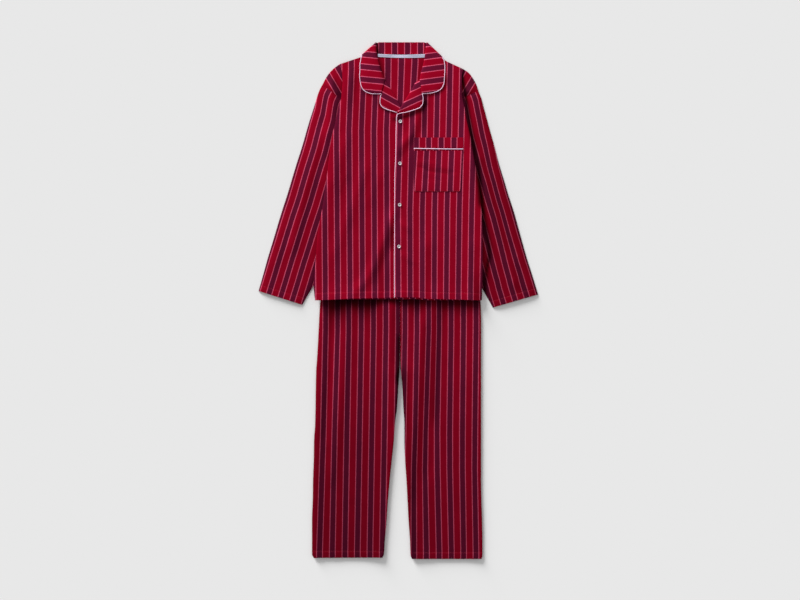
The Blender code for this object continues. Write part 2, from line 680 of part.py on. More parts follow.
def build_jacket(pile, parts):
    """Back, stand, tape, fronts, pocket, lapels, collar and pipings, lowest first."""
    laid_panel("jacket_back", back_grid(), pile, "flannel", parts)
    laid_panel("collar_stand", panel_grid(STAND, COLLAR_COLUMNS), pile, "flannel", parts)
    laid_panel("neck_tape", panel_grid(TAPE, TAPE_COLUMNS), pile, "tape", parts)

    right_rows = [(row.right_side, row.right_edge) for row in JACKET]
    grid = panel_grid(right_rows, FRONT_COLUMNS)
    extra = fold_height(grid.reshape(-1, 2), JACKET_FOLDS) + puffed(grid, FRONT_PUFF)
    laid_panel("front_right", grid, pile, "flannel", parts, extra)

    edge = [row.left_edge for row in JACKET[7:]]
    hem = np.array(edge[-1]) - (0, CORD_DROP)
    front_path = moved_aside(rounded(edge[:-1] + [hem]), -PIPING_SIDE)
    front_cord = cord_on(front_path, pile)

    left_rows = [(row.left_edge, row.left_side) for row in JACKET]
    grid = panel_grid(left_rows, FRONT_COLUMNS)
    extra = fold_height(grid.reshape(-1, 2), JACKET_FOLDS) + puffed(grid, FRONT_PUFF)
    laid_panel("front_left", grid, pile, "flannel", parts, extra)

    laid_panel("pocket", panel_grid(POCKET, POCKET_COLUMNS), pile, "flannel", parts)
    piping("pocket_piping", cord_on(rounded(POCKET_PIPING, POCKET_CORD_STEP), pile), parts)
    laid_panel("pocket_band", panel_grid(POCKET_BAND, POCKET_COLUMNS), pile, "flannel", parts)

    right_edge = shortened([row.edge for row in LAPEL_RIGHT], NOTCH_ROOM)
    right_path = moved_aside(rounded(right_edge), -PIPING_SIDE)
    right_cord = cord_on(right_path, pile)
    laid_panel("lapel_right", panel_grid(LAPEL_RIGHT, LAPEL_COLUMNS), pile, "flannel", parts)
    piping("lapel_piping_right", right_cord, parts)
    pile.add_cord(right_cord, PIPING_RADIUS)

    left_edge = shortened([row.edge for row in LAPEL_LEFT], NOTCH_ROOM)
    left_path = moved_aside(rounded(left_edge), PIPING_SIDE)
    left_cord = cord_on(left_path, pile)
    laid_panel("lapel_left", panel_grid(LAPEL_LEFT, LAPEL_COLUMNS), pile, "flannel", parts)
    piping("front_piping_left", np.vstack([left_cord, front_cord]), parts)

    build_collar(pile, parts)


def build_button(number, place, pile, parts):
    """A turned disc with a raised rim."""
    x, y = place
    level = pile.highest(place, BUTTON_RADIUS) + SEAM
    mesh = bpy.data.meshes.new("button")
    points = [(out * BUTTON_RADIUS * MM, 0, up * BUTTON_HEIGHT * MM) for out, up in BUTTON_OUTLINE]
    edges = [(index, index + 1) for index in range(len(points) - 1)]
    mesh.from_pydata(points, edges, [])
    button = add_object(f"button_{number}", mesh, "button", parts)
    button.location = (x * MM, y * MM, level * MM)
    turn = button.modifiers.new("turn", "SCREW")
    turn.steps = BUTTON_STEPS
    turn.render_steps = BUTTON_STEPS
    turn.use_merge_vertices = True
    turn.merge_threshold = 0.00001
    turn.use_smooth_shade = True


def centre_on_origin(parts):
    """Hangs every piece on one empty, placed so that the set's box is centred over the origin."""
    bpy.context.view_layer.update()
    graph = bpy.context.evaluated_depsgraph_get()
    points = []
    for piece in parts.objects:
        shape = piece.evaluated_get(graph)
        points += [piece.matrix_world @ vert.co for vert in shape.to_mesh().vertices]
        shape.to_mesh_clear()
    points = np.array(points)
    low, high = points.min(0), points.max(0)
    holder = bpy.data.objects.new("pyjama_set_holder", None)
    holder.location = (-(low[0] + high[0]) / 2, -(low[1] + high[1]) / 2, -low[2])
    for piece in list(parts.objects):
        piece.parent = holder
    parts.objects.link(holder)


def main():
    for old in list(bpy.data.objects):
        bpy.data.objects.remove(old, do_unlink=True)
    parts = bpy.data.collections.new("pyjama_set")
    bpy.context.scene.collection.children.link(parts)
    pile = Pile()
    build_trousers(pile, parts)
    build_sleeves(pile, parts)
    build_collar_back(pile)
    build_jacket(pile, parts)
    for number, place in enumerate(BUTTON_PLACES, start=1):
        build_button(number, place, pile, parts)
    centre_on_origin(parts)


main()
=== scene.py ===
"""Striped flannel pyjama set, laid flat: the jacket lies over the top of its trousers.

Plan sizes are in millimetres from the jacket's centre line (x) and its hem (y), with the
collar at +Y and the wearer's left at +X. Each piece of cloth is laid in turn on a bed that
remembers how high the pieces under it lie.
"""

import math
from collections import namedtuple

import bmesh
import bpy
import numpy as np
from numpy.linalg import norm
from mathutils import Matrix, Vector


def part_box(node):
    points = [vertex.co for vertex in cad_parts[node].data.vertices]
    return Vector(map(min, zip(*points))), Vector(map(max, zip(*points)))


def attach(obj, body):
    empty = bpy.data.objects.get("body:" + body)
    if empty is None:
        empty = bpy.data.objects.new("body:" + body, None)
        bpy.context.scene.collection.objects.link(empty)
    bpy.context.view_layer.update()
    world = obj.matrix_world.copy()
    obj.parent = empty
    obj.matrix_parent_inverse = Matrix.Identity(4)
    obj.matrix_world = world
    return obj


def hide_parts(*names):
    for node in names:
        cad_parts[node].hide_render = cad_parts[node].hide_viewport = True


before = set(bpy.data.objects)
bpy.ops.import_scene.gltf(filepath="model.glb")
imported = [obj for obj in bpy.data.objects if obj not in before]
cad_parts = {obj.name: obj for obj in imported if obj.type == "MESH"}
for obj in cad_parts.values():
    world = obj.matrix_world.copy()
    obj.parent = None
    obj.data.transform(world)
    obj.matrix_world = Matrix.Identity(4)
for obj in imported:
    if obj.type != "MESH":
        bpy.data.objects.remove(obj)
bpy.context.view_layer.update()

MM = 0.001

# Cloth and notions
CLOTH = 0.9  # flannel, without its nap
TAPE_CLOTH = 0.5
RIM = 0.25  # the rounding of a cut edge
REST = 0.12  # air between two layers that touch
SAG = 0.004  # how far each pass of settling lets a sheet drop between its supports
# Passes of settling
ROUNDS, BACK_ROUNDS, FRONT_ROUNDS, COLLAR_ROUNDS, TUBE_ROUNDS = 60, 400, 80, 80, 20
FOLD_RADIUS = 1.1  # where a flattened sleeve turns at its edge
TUBE_AIR = 0.5  # between a flattened tube's two layers
HEM = 19.0  # from a hem's fold to its stitches
# A turned hem's thickness, its stitches' trough, and how far each takes to ease off
HEM_FOLD, HEM_TROUGH, HEM_EASE = 0.35, 0.45, 1.6
PIPING_RADIUS = 0.95
FRONT_PIPING_RADIUS = 0.8  # below the lapel
POCKET_PIPING_RADIUS = 1.05
PIPING_SIDE = 1.1  # from a trimmed edge to its piping's centre
ROLL_RADIUS, ROLL_MOST = 2.4, 0.3  # the collar's and lapels' roll, and its share of a width
COLLAR_WIDTH = 62.0  # in cloth, from the roll to the piped edge
COLLAR_CUT = (430, 100)
LAPEL_WIDTH = 34.0
COLLAR_TURN = 4.0  # how far the shoulder fold's round reaches in
BEHIND_LEVEL = CLOTH / 2 + REST
WAISTBAND_CUT = (940, 72)  # before its elastic gathers it, and before it is folded
BAND_PERIOD = 35.8  # from one purple band to the next
BUTTON_RADIUS = 4.9
HOLE_RADIUS = 0.7
HOLE_REACH = 1.15  # from a button's middle, each way
BUTTON_PLACES = [(1, 518), (0, 396), (-1, 276), (-3, 155)]
BUTTON_THREAD = 0.45
STITCH, STITCH_GAP, STITCH_THREAD = 2.6, 0.9, 0.24

# The frame's top button gives the plan's place.
button_low, button_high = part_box("button_1")
PLAN_X = (button_low[0] + button_high[0]) / 2 - BUTTON_PLACES[0][0] * MM
PLAN_Y = (button_low[1] + button_high[1]) / 2 - BUTTON_PLACES[0][1] * MM

# Mesh steps
STEP, TRIM_STEP, TAPE_STEP, ROLL_STEP, BEHIND_STEP = 5.0, 4, 3, 3.0, 4.0
PIPING_STEP, STITCH_PATH_STEP = 3, 4
EDGE_STEPS = (0.0, 0.8, 2.2, 4.5)
SEWN_STEP = 2  # the one of them where the pocket is sewn on
MARK_STEPS, MARK_CLEAR = (-1.4, 0.0, 1.4), 2.4  # round a row of stitches
CELL = 2.0
REACH = (430.0, 780.0)
TURNS = 4  # columns round a tube's edge
ROLL_STEPS, ROLL_SHARE = 6, 0.07  # of a rolled edge's round, and how much of the width it takes
SHOULDER_STEPS, SHOULDER_STRIPE = 8, 2.0

Bands = namedtuple("Bands", "first step rows")
SleeveBands = namedtuple("SleeveBands", "levels starts gathers")
Slant = namedtuple("Slant", "across place period")
Fold = namedtuple("Fold", "half_width height path")


def rows_of(*ends):
    """A panel's rows, each from its first edge to its last: (x, y, x, y)."""
    return np.array(ends, float).reshape(-1, 2, 2)


def folds(*lines):
    """Soft ridges, or troughs below 0: (half width, height, x, y, x, y...)."""
    return [Fold(line[0], line[1], np.array(line[2:], float).reshape(-1, 2)) for line in lines]


JACKET_RIGHT = rows_of(
    (-175, 684, -70, 719), (-168, 660, -66, 702), (-167, 632, -56, 671), (-169, 606, -44, 639),
    (-171, 583, -28, 614), (-177.5, 560, -12, 586), (-183.5, 534, 3, 558), (-190.5, 502, 14, 528),
    (-198, 470, 16, 478), (-205, 420, 16, 420), (-212, 357, 16, 357), (-225, 267, 16, 267),
    (-239, 188, 16, 188), (-244, 116, 16, 116), (-250, 41, 15, 42), (-246, -1, 14, 5))
JACKET_LEFT = rows_of(
    (75, 720, 183, 670), (73, 700, 179, 644), (66, 673, 179, 621), (58, 639, 180, 597),
    (36, 615, 183, 577), (19, 586, 187, 557), (0, 555, 190, 534), (-9, 528, 197.5, 502),
    (-10.5, 478, 205.5, 467), (-11.2, 420, 213, 418), (-14, 357, 225, 354), (-14.3, 267, 235, 267),
    (-14.6, 188, 239, 188), (-15.2, 116, 239, 116), (-15, 42, 238, 38), (-15, 6, 237, 1))
LAPEL_ROWS = 7  # of the front edge, above the lapel's end
NECK_LINE = np.array((
    (-175, 684), (-111, 705), (-70, 719), (-62, 711), (0, 709), (64, 711), (75, 720), (127, 696),
    (183, 670)), float)

# A sleeve's rows run from its outer fold to its underarm seam; one of them is the head crease.
SLEEVE_RIGHT = rows_of(
    (-175, 684, -171, 680), (-190, 673, -165, 659), (-205, 658, -164, 631), (-215, 643, -165, 605),
    (-224, 626, -167, 582), (-233, 609, -169, 559), (-240, 590, -170, 529), (-248, 563, -165, 493),
    (-264, 513, -154, 440), (-283, 447, -149, 370), (-298, 400, -151, 318), (-312, 354, -156, 272),
    (-326, 307, -166, 229), (-341, 261, -181, 191), (-355, 215, -190, 157), (-369, 168, -204, 122),
    (-383, 122, -226, 84), (-396, 75, -254, 38), (-410, 26, -284, -14))
SLEEVE_LEFT = rows_of(
    (183, 670, 178, 666), (200, 658, 175, 643), (213, 640, 175, 620), (222, 622, 177, 596),
    (227, 606, 179, 586), (235, 586, 182, 556), (241, 563, 184, 529), (250, 530, 177, 490),
    (258, 500, 165, 452), (273, 447, 152, 385), (285, 400, 149, 320), (299, 354, 153, 270),
    (313, 307, 166, 218), (328, 261, 181, 180), (341, 215, 191, 145), (354, 168, 203, 110),
    (367, 122, 219, 72), (382, 75, 240, 32), (400, 16, 270, -22))
CREASE_ROW = 4

# Collar and lapel rows run from the roll to the piped edge.
COLLAR_RIGHT = rows_of(
    (-54, 599, -78, 599), (-52, 607, -97, 604), (-49, 618, -109, 615), (-46, 629, -114, 632),
    (-44, 639, -116, 650), (-53, 663, -115, 668), (-60, 684, -115, 683), (-64, 705, -113, 694),
    (-67, 726, -112, 701), (-70, 748, -112, 711))
COLLAR_LEFT = rows_of(
    (64, 599, 87, 601), (62, 607, 107, 606), (61, 618, 121, 616), (59, 629, 127, 632),
    (58, 639, 128, 650), (62, 663, 129, 666), (67, 680, 129, 679), (71, 700, 128, 687),
    (74, 724, 127, 694), (79, 748, 125, 704))
COLLAR_BACK = rows_of(
    (-60, 748, -90, 699), (-40, 748, -55, 696), (-14, 748, -18, 695), (20, 748, 24, 695),
    (46, 748, 64, 694), (68, 748, 102, 694))
LAPEL_RIGHT = rows_of(
    (-43, 637, -52, 598), (-35, 626, -56, 587), (-27, 612, -57, 574), (-18, 597, -52, 562),
    (-9, 582, -38, 554), (-3, 570, -22, 549), (4, 557, -8, 545))
LAPEL_LEFT = rows_of(
    (57, 637, 63, 598), (44, 629, 66, 586), (37, 616, 65, 571), (30, 604, 57, 559),
    (20, 588, 39, 552), (10, 571, 19, 546), (1, 557, 3, 543), (-6, 548, -8, 540))
STAND = rows_of((-63, 747, 71, 747), (-67, 730, 73, 730), (-70, 712.5, 74, 712.5))
TAPE = rows_of((-64, 714, 74, 713.5), (-64, 705.3, 71, 703.6))
TAPE_SAG = 2.2

LEG_RIGHT = rows_of(
    (-178, 139, -0.3, 139), (-196, 99, -0.3, 99), (-223, 44, -0.3, 44), (-232, -17, -0.3, -17),
    (-235, -72, -0.3, -72), (-238, -130, -0.4, -130), (-241, -177, -0.9, -177),
    (-243, -209, -2, -209), (-244, -252, -5, -252), (-245, -313, -9, -313),
    (-246, -360, -15, -360), (-249, -406, -18, -406), (-250, -464, -24, -464),
    (-252, -522, -30, -522), (-253, -580, -35, -580), (-255, -638, -39, -638),
    (-255, -696, -44, -696), (-255, -738, -47, -738), (-250, -748, -51, -747))
LEG_LEFT = rows_of(
    (0.3, 139, 178, 139), (0.3, 99, 196, 99), (0.3, 44, 223, 44), (0.3, -17, 234, -17),
    (0.3, -72, 235, -72), (0.4, -130, 235, -130), (0.9, -177, 235, -177), (3, -209, 235, -209),
    (7, -252, 235, -252), (10, -313, 235, -313), (13, -360, 235, -360), (13, -406, 235, -406),
    (15, -464, 235, -464), (19, -522, 235, -522), (22, -580, 236, -580), (25, -638, 238, -638),
    (29, -696, 239, -696), (31, -741, 239, -741), (35, -751, 236, -751))
WAISTBAND = rows_of((-173, 174, 173, 174), (-175, 157, 175, 157), (-178, 139.6, 178, 139.6))

POCKET = rows_of(
    (40, 433, 184, 433), (39, 396, 181, 396), (39, 358, 178.5, 358), (39.5, 319, 176, 319),
    (44, 314.5, 172, 314.5))
POCKET_BAND = rows_of((40, 471, 183, 471), (40, 441, 184, 441))
POCKET_PIPING = ((40, 439.3), (88, 438.6), (136, 437.8), (183.5, 437.5))

# Where the purple bands cross each level of a panel. A row is the level and a place for each
# band: the first band's number comes first, then the step from one to the next.
BANDS_RIGHT = Bands(0, 4, (
    (670, -177, -32.8), (493, -184.2, -39.5), (261, -182.2, -38.3), (29, -180.4, -37.2)))
BANDS_LEFT = Bands(1, 4, ((670, 37.9, 181.2), (493, 35, 177.4), (261, 29, 171.9), (29, 29.5, 169)))
BANDS_POCKET = Bands(1, 1, ((433, 77.6, 113, 149.6, 186), (317, 71.5, 108.6, 145.4, 181.3)))
BANDS_POCKET_TOP = Bands(0, 1, ((450, 47.5, 83, 119.2, 156.6),))
BANDS_STAND = Bands(0, 3, ((730, -53.1, 59.4),))
BANDS_BACK = Bands(0, 2, ((690, -34.9, 43.4), (570, -35.6, 36.4)))
BANDS_WAIST = Bands(0, 2, ((690, -34.9, 43.4),))
BANDS_LEG_RIGHT = Bands(-1, 1, (
    (-87, -250, -216.1, -180.4, -149.1, -112.6, -76.9, -40.9, -4.4),
    (-377, -262, -221, -190, -154, -117.5, -81.5, -45, -8.8),
    (-725, -270, -233.4, -196.3, -159.6, -123.8, -87, -51.4, -15.4)))
BANDS_LEG_LEFT = Bands(0, 1, (
    (-87, 14.5, 49.3, 84.1, 112.8, 147.9, 184.1, 220.4),
    (-377, 9.5, 44.4, 74.3, 107.1, 144, 181.2, 217.2),
    (-493, 6.4, 40.8, 72, 108.2, 144.1, 181.2, 216.4),
    (-725, 4.4, 40, 76.3, 113.6, 148.9, 184.5, 220.2)))
# A sleeve's first band lies this far in from its outer fold, by the fold's level. The next ones
# lie nearer to it by the gathers, where the cloth is taken up in the long fold between them.
SLEEVE_BANDS_RIGHT = SleeveBands((-14, 116, 290, 464, 560, 608),
                                 (29.5, 32.5, 34.0, 32.8, 30.1, 24.0), (0,) * 6)
SLEEVE_BANDS_LEFT = SleeveBands((60, 90, 145, 200, 255, 308, 377, 447, 490, 551, 600),
                                (32.3, 32, 32, 33.3, 33.3, 32, 30, 26.6, 24.2, 19.6, 16.5),
                                (0, 1.6, 4.0, 6.8, 7.5, 7.5, 7.2, 4.0, 1.2, 0, 0))
GATHER_START, GATHER_WIDTH = -10, 32  # from the first band
WAY_PASSES = 12  # that even out the outer fold's way
# Bands that cross on a slant: the way across them, a band's place along it and their period.
SLANT_HEAD_RIGHT = Slant((0.857, 0.515), 155.5, 37.2)
SLANT_HEAD_LEFT = Slant((0.85, -0.526), -155.1, 38.9)
SLANT_COLLAR_RIGHT = Slant((0.0995, 0.995), 662.2, 36.4)
SLANT_COLLAR_LEFT = Slant((-0.129, 0.9916), 653.8, 36.3)
SLANT_LAPEL_RIGHT = Slant((0.482, 0.876), 496.2, 35.8)
SLANT_LAPEL_LEFT = Slant((-0.418, 0.909), 508.1, 35.8)

JACKET_FOLDS = folds(
    (14, 4.2, -14, 290, -36, 205, -56, 148, -72, 103, -100, 54, -148, 0),
    (11, -2.4, -4, 260, -22, 195, -44, 130, -64, 70, -70, 20),
    (17, 2.6, -80, 430, -140, 270, -205, 90), (16, 1.8, -138, 510, -175, 410, -212, 290),
    (18, 1.4, -14, 430, -70, 335, -130, 230),
    (11, 3.2, 60, 600, 52, 530, 34, 482, 10, 452, -8, 425),
    (10, -1.8, 74, 600, 72, 510, 52, 470, 26, 440, 10, 410), (11, 2.8, 74, 190, 70, 60, 68, -40),
    (34, 1.8, 154, 320, 140, -40), (14, 3.4, 203, 200, 205, 60, 207, -40),
    (9, 1.8, -142, 720, -140, 640, -138, 560), (9, 2.4, -8, 236, 40, 188),
    (9, 2.4, -4, 148, 50, 92), (24, 1.8, 112, 630, 158, 460), (24, 1.4, -112, 630, -158, 460),
    (16, 3, -195, -60, -190, 60), (14, 1.6, -95, -60, -98, 55), (14, -1.8, -42, -60, -42, 60),
    (14, -1.8, 54, -60, 54, 60), (20, 3, 110, -60, 108, 65), (14, 1.6, 215, -60, 213, 55))
BACK_FOLDS = folds(
    (30, 1.6, -108, 460, -122, 0), (34, 1.8, 58, 440, 77, 20), (18, 0.8, -22, 660, -24, 540))
LEG_FOLDS = folds(
    (17, 3.6, -148, 60, -160, -150, -178, -350, -204, -560),
    (10, -3.2, -195, 40, -203, -200, -222, -430), (38, 1.6, -108, -240, -132, -780),
    (22, 1.2, -174, -460, -192, -800), (22, 1.2, -58, -360, -86, -800),
    (17, 5.2, 66, -20, 56, -180, 38, -400, 22, -600),
    (17, -3.2, 122, 40, 107, -180, 93, -370, 78, -560), (28, 1.6, 192, -120, 184, -780),
    (20, 1.3, 70, -480, 79, -800), (24, 1, 138, -420, 152, -780), (10, 2.6, -22, 40, -32, -240),
    (12, 1.8, 26, 40, 32, -240), (5, -1.8, -1, 60, -1, -250))
SLEEVE_FOLDS = folds(
    (15, 3.8, -216, 520, -276, 320, -322, 110), (14, 1.6, -322, 280, -378, 60),
    (10, 2.6, -196, 660, -202, 560, -224, 400),
    (10, 5, 222, 440, 256, 300, 284, 200, 324, 80, 342, 20),
    (13, 2.6, 218, 620, 244, 528, 293, 352, 348, 166, 396, 0), (12, 1, 210, 590, 228, 450),
    (16, 1.2, 326, 150, 348, 20), (4.5, -2.8, -232, 630, -166, 576),
    (7, 1.8, -228, 638, -164, 587), (4.5, -2.8, 232, 611, 177, 583), (7, 1.8, 228, 619, 174, 595))
POCKET_FOLDS = folds(
    (5, -1.6, 44, 388, 96, 376, 168, 368), (6, 0.9, 44, 404, 120, 392),
    (6, -0.5, 60, 354, 132, 345))

# Painted shade on the legs and sleeves where a fold or the body would keep the light out, and
# painted light on a few lit folds: the share of the cloth's colour that each takes away below 0,
# or gives above 0
PAINTED_LIGHT_AND_SHADE = folds(
    (7, -0.97, 176, 690, 182, 635, 188, 600, 193, 565, 201, 516, 211.5, 464, 219, 429, 229, 383,
     233, 337, 238, 291, 242, 245, 252, 187, 258, 155, 259, 129, 250, 85, 245, 42, 244, 0),
    (9, -0.4, -172, 630, -178, 590, -182, 540, -178, 480),
    (9, 0.25, -186, 600, -200, 540, -214, 470, -228, 390, -240, 330),
    (7, -0.35, -198, 655, -184, 622, -172, 592), (8, -0.3, 0, -20, -1, -180, -5, -370),
    (8, -0.6, -1, -190, -3, -240, -9, -360), (6, -0.6, -4, -90, -5, -150, -6, -190, -9, -250),
    (9, 0.45, -14, -340, -22, -464, -35, -580, -47, -790),
    (14, -0.3, 10, -170, 14, -260, 20, -406, 24, -522, 32, -640, 38, -800),
    (6, 0.3, 234, -200, 235, -400, 238, -800), (15, -0.34, 124, 60, 110, -190, 97, -380))
# Painted shade on the fronts: in their folds, beside the body's sides and under the collar and
# lapels; painted light on one fold by the placket
FRONT_PAINTED_LIGHT_AND_SHADE = folds(
    (5, -0.3, -48, 592, -80, 592, -104, 598, -120, 615),
    (4, -0.62, -62, 592, -63, 572, -56, 558, -38, 548, -20, 543, -6, 539),
    (7, -0.85, 70, 600, 74, 570, 63, 551, 42, 542, 20, 534, -4, 527, -34, 520),
    (5, -0.6, 60, 594, 88, 594, 110, 599, 126, 612, 134, 632, 135, 660),
    (8, -0.45, 6, 446, -1, 400), (9, -0.22, 84, 596, 80, 540, 64, 470),
    (13, -0.24, -125, 690, -132, 640, -142, 590, -150, 530),
    (9, -0.25, -146, 376, -166, 332, -184, 286), (22, -0.28, 222, 110, 222, -60),
    (7, -0.3, 186, 640, 180, 608, 188, 560),
    (6, -0.8, 197, 540, 202, 500, 209, 460, 217, 420, 222, 377, 228, 325, 233, 260),
    (8, 0.35, -30, 265, -28, 212), (8, -0.6, -22, 225, -25, 178, -27, 130),
    (14, -0.28, -42, 170, -54, 110, -60, 0))
# Painted shade on the collar and stand beside the roll
COLLAR_PAINTED_SHADE = folds(
    (6, -0.45, -66, 735, -58, 690, -50, 655, -46, 620), (6, -0.8, -68, 762, -64, 700))
# Painted shade on the back panel inside the neck
NECK_PAINTED_SHADE = folds(
    (8, -0.45, -64, 720, -53, 670, -40, 630), (8, -0.25, 68, 715, 60, 670, 50, 630))
# Painted shade in the pocket's crease
POCKET_PAINTED_SHADE = folds((4, -0.4, 60, 380, 96, 374, 156, 365))

# Air under the cloth, and rises of its seams, by the level where they change
LEG_AIR, LEG_LEAST, SLEEVE_AIR, BACK_AIR, LAPEL_AIR, COLLAR_AIR = 3.0, 0.3, 3.2, 0.4, 2.2, 2.4
POCKET_AIR, TRIM_AIR = 0.7, 0.5
# How far in from a panel's sides the air rises, and down from its first row
PUFF_REACH, BACK_REACH, LAPEL_REACH, COLLAR_REACH, TRIM_REACH = 9.0, 30, 8, 9, 6
FRONT_SIDE_REACH, FRONT_EDGE_REACH, FRONT_EDGE_LOSS = 8, 14, 0.6
SHOULDER_EASE, SLEEVE_EASE, SLEEVE_LEAST, NECK_EASE = 50, 60, 0.05, 150
RIDGE_FADE = 4.0  # from a ridge's end to its full height, in its half widths
# Slow swells: their size, height and phase
LEG_RIPPLES, SLEEVE_RIPPLES, FRONT_RIPPLES = (70, 0.5, 0), (60, 0.4, 1), (80, 0.5, 2)
FRONT_AIR = ((0, 50, 300), (4.4, 2.8, 2.2))
LEG_SWELL = ((-90, -10, 139), (1.0, 1.25, 0.5))
BACK_LIFT = ((0, 60, 200), (2.0, 1.2, 0.0))  # over the trousers
SEAM_RISE = 3.2  # of a side seam above what it lies on
OUTER_RISE = ((-60, 0), (1.0, 0.3))  # of a leg's seams, in shares of it
INNER_RISE = {"right": ((-700, -330, -215, -180), (1.6, 1.9, 2.0, 0.0)),
              "left": ((-700, -330, -215, -180), (1.0, 1.3, 1.9, 0.0))}
BACK_RISE = ((400, 520), (1.4, 0.0))
CURL_REACH = 7.0
OUTER_REACH = 5.0  # of the round beside a seam
INNER_REACH = ((-290, -215, -180), (4.0, 6.0, 14.0))

# Colours of the yarns; below them, painted light and shade for each panel, by level
RED = (0.280, 0.0008, 0.0140)
NAVY = (0.050, 0.0062, 0.0280)
ROSE = (0.84, 0.130, 0.250)
WHITE = (0.97, 0.70, 0.91)
SKY = (0.61, 0.62, 0.79)
PEARL = (0.70, 0.68, 0.68)
PEARL_CLOUD = (0.52, 0.50, 0.55)
# Where a band ends and its rose line lies, in shares of the bands' period, and the warp's pitch
BAND_EDGE, LINE_PLACE, LINE_EDGE = (0.205, 0.232), 0.231, (0.018, 0.042)
THREAD = 0.62
FLOOR = 0.83
# Painted light and shade: shares that each panel's cloth colour is multiplied by, by level. The
# trousers and sleeves are painted darker lower down, the fronts darker towards the hem, the back
# lighter near the neck
LEG_PAINTED_LIGHT = {"right": ((-740, -400, -100), (0.44, 0.53, 0.76)),
             "left": ((-740, -400, -100), (0.51, 0.59, 0.76))}
SLEEVE_PAINTED_LIGHT = {"right": ((300, 600), (0.80, 0.95)), "left": ((300, 600), (0.62, 0.85))}
FRONT_PAINTED_LIGHT = ((30, 200, 500, 650), (0.86, 0.88, 1.0, 1.02))
BACK_PAINTED_LIGHT = ((560, 700), (0.98, 1.05))
# Painted shade on the trousers' backs, the waistband, the stand and the pocket; painted light on
# the collar
LEG_BACK_PAINTED_LIGHT, WAISTBAND_PAINTED_LIGHT, COLLAR_PAINTED_LIGHT = 0.55, 0.8, 1.10
STAND_PAINTED_LIGHT, POCKET_PAINTED_LIGHT = 0.96, 0.97
# Painted shadow of the jacket's hem on the trousers: how deep it is below the hem, and how far it
# reaches down at each x
HEM_PAINTED_SHADOW = (
    (-235, -215, -203, -180, -133, -110, -87, -40, -17, 6, 29, 52, 75, 98, 121, 200, 235), (0.4,
    0.65, 0.8, 0.93, 0.92, 0.88, 0.92, 0.78, 0.84, 0.72, 0.84, 0.84, 0.7, 0.6, 0.78, 0.78, 0.68))
HEM_PAINTED_SHADOW_REACH = (
    (-235, -222, -200, -170, -157, -140, -90, -62, -41, 6, 46, 76, 110, 168, 200, 215), (24, 34,
    66, 54, 46, 28, 46, 16, 8, 16, 32, 20, 16, 36, 32, 28))
# How far the jacket's hem lies above a straight line at each x
HEM_RISE = (
    (-250, -226, -180, -133, -87, -40, -17, 6, 29, 52, 75, 170, 215, 240), (0, 0, 1.5, 2.9, 2.9,
    2.8, 3, 1.7, 2.6, 2.6, -0.9, -1, -2, -2))
HEM_RISE_FADES = 80

# Light and view
SKY_LIGHT = 0.50
KEY_LIGHT = 5.73
KEY_SOFTNESS = 26.0
KEY_HEIGHT = 15.0  # degrees above the floor
KEY_TURN = 121.0  # degrees from +X: the upper left
KEY_AWAY = 3  # metres
VIEW_WIDTH, VIEW_LEVEL = 2.32, 0.006  # metres across the picture, and where it is so wide
FLOOR_HALF, FLOOR_LEVEL = 12.0, -0.0002  # metres


# ---- plan curves and grids

def running(steps):
    return np.concatenate([[0], np.cumsum(steps)])


def smooth(rows, shares):
    """Points on a smooth curve through rows at the given shares of its length, no overshoot."""
    rows = np.array(rows, float)
    flat = rows.reshape(len(rows), -1)
    lengths = norm(np.diff(rows, axis=0), axis=-1).reshape(len(rows) - 1, -1).mean(1)
    place = running(np.maximum(lengths, 0.01))
    slope = np.diff(flat, axis=0) / np.diff(place)[:, None]
    ahead, behind = slope[1:], slope[:-1]
    both = ahead * behind
    inner = np.where(both > 0, 2 * both / np.where(both > 0, ahead + behind, 1), 0)
    tangent = np.vstack([slope[:1], inner, slope[-1:]])
    wanted = np.clip(np.asarray(shares) * place[-1], 0, place[-1])
    index = np.clip(np.searchsorted(place, wanted, side="right") - 1, 0, len(rows) - 2)
    step = (place[index + 1] - place[index])[:, None]
    t = (wanted - place[index])[:, None] / step
    value = (flat[index] * (1 + 2 * t) * (1 - t) ** 2 + flat[index + 1] * (3 - 2 * t) * t ** 2
             + tangent[index] * step * t * (1 - t) ** 2
             - tangent[index + 1] * step * t ** 2 * (1 - t))
    return value.reshape(len(wanted), *rows.shape[1:])


def length_of(points):
    """Length of a path, or the mean length of several side by side."""
    steps = norm(np.diff(np.array(points, float), axis=0), axis=-1)
    return steps.reshape(len(steps), -1).mean(1).sum()


def spread(length, step=STEP, marks=()):
    """Shares of a length that lie close together at its ends and round each mark."""
    edge = EDGE_STEPS[-1]
    inner = np.linspace(edge, length - edge, max(2, round((length - 2 * edge) / step) + 1))
    near = [mark + offset for mark in marks for offset in MARK_STEPS]
    inner = [place for place in inner if all(abs(place - mark) > MARK_CLEAR for mark in marks)]
    places = sorted([*EDGE_STEPS[:-1], *inner, *near, *[length - end for end in EDGE_STEPS[:-1]]])
    return np.array(places) / length


def between_ends(rows):
    """Points on the curve through rows, but for the close ones at its ends."""
    ends = len(EDGE_STEPS) - 1
    return smooth(rows, spread(length_of(rows), BEHIND_STEP)[ends:-ends])


def crossed(sides, shares):
    """Points across each row of a panel at shares of its width."""
    shares = shares[None, :, None]
    return sides[:, :1] * (1 - shares) + sides[:, 1:] * shares


def panel_grid(rows, marks=(), step=STEP):
    """Plan points of a panel whose rows run straight between two edges."""
    across = norm(rows[:, 1] - rows[:, 0], axis=1).mean()
    return crossed(smooth(rows, spread(length_of(rows), step, marks)), spread(across, step))


def hemmed_grid(rows):
    return panel_grid(rows, marks=(length_of(rows) - HEM,))


def from_start(grid):
    """How far each row of a grid is from its first one."""
    return running(norm(np.diff(grid, axis=0), axis=-1).mean(1))


def from_end(grid):
    down = from_start(grid)
    return down[-1] - down


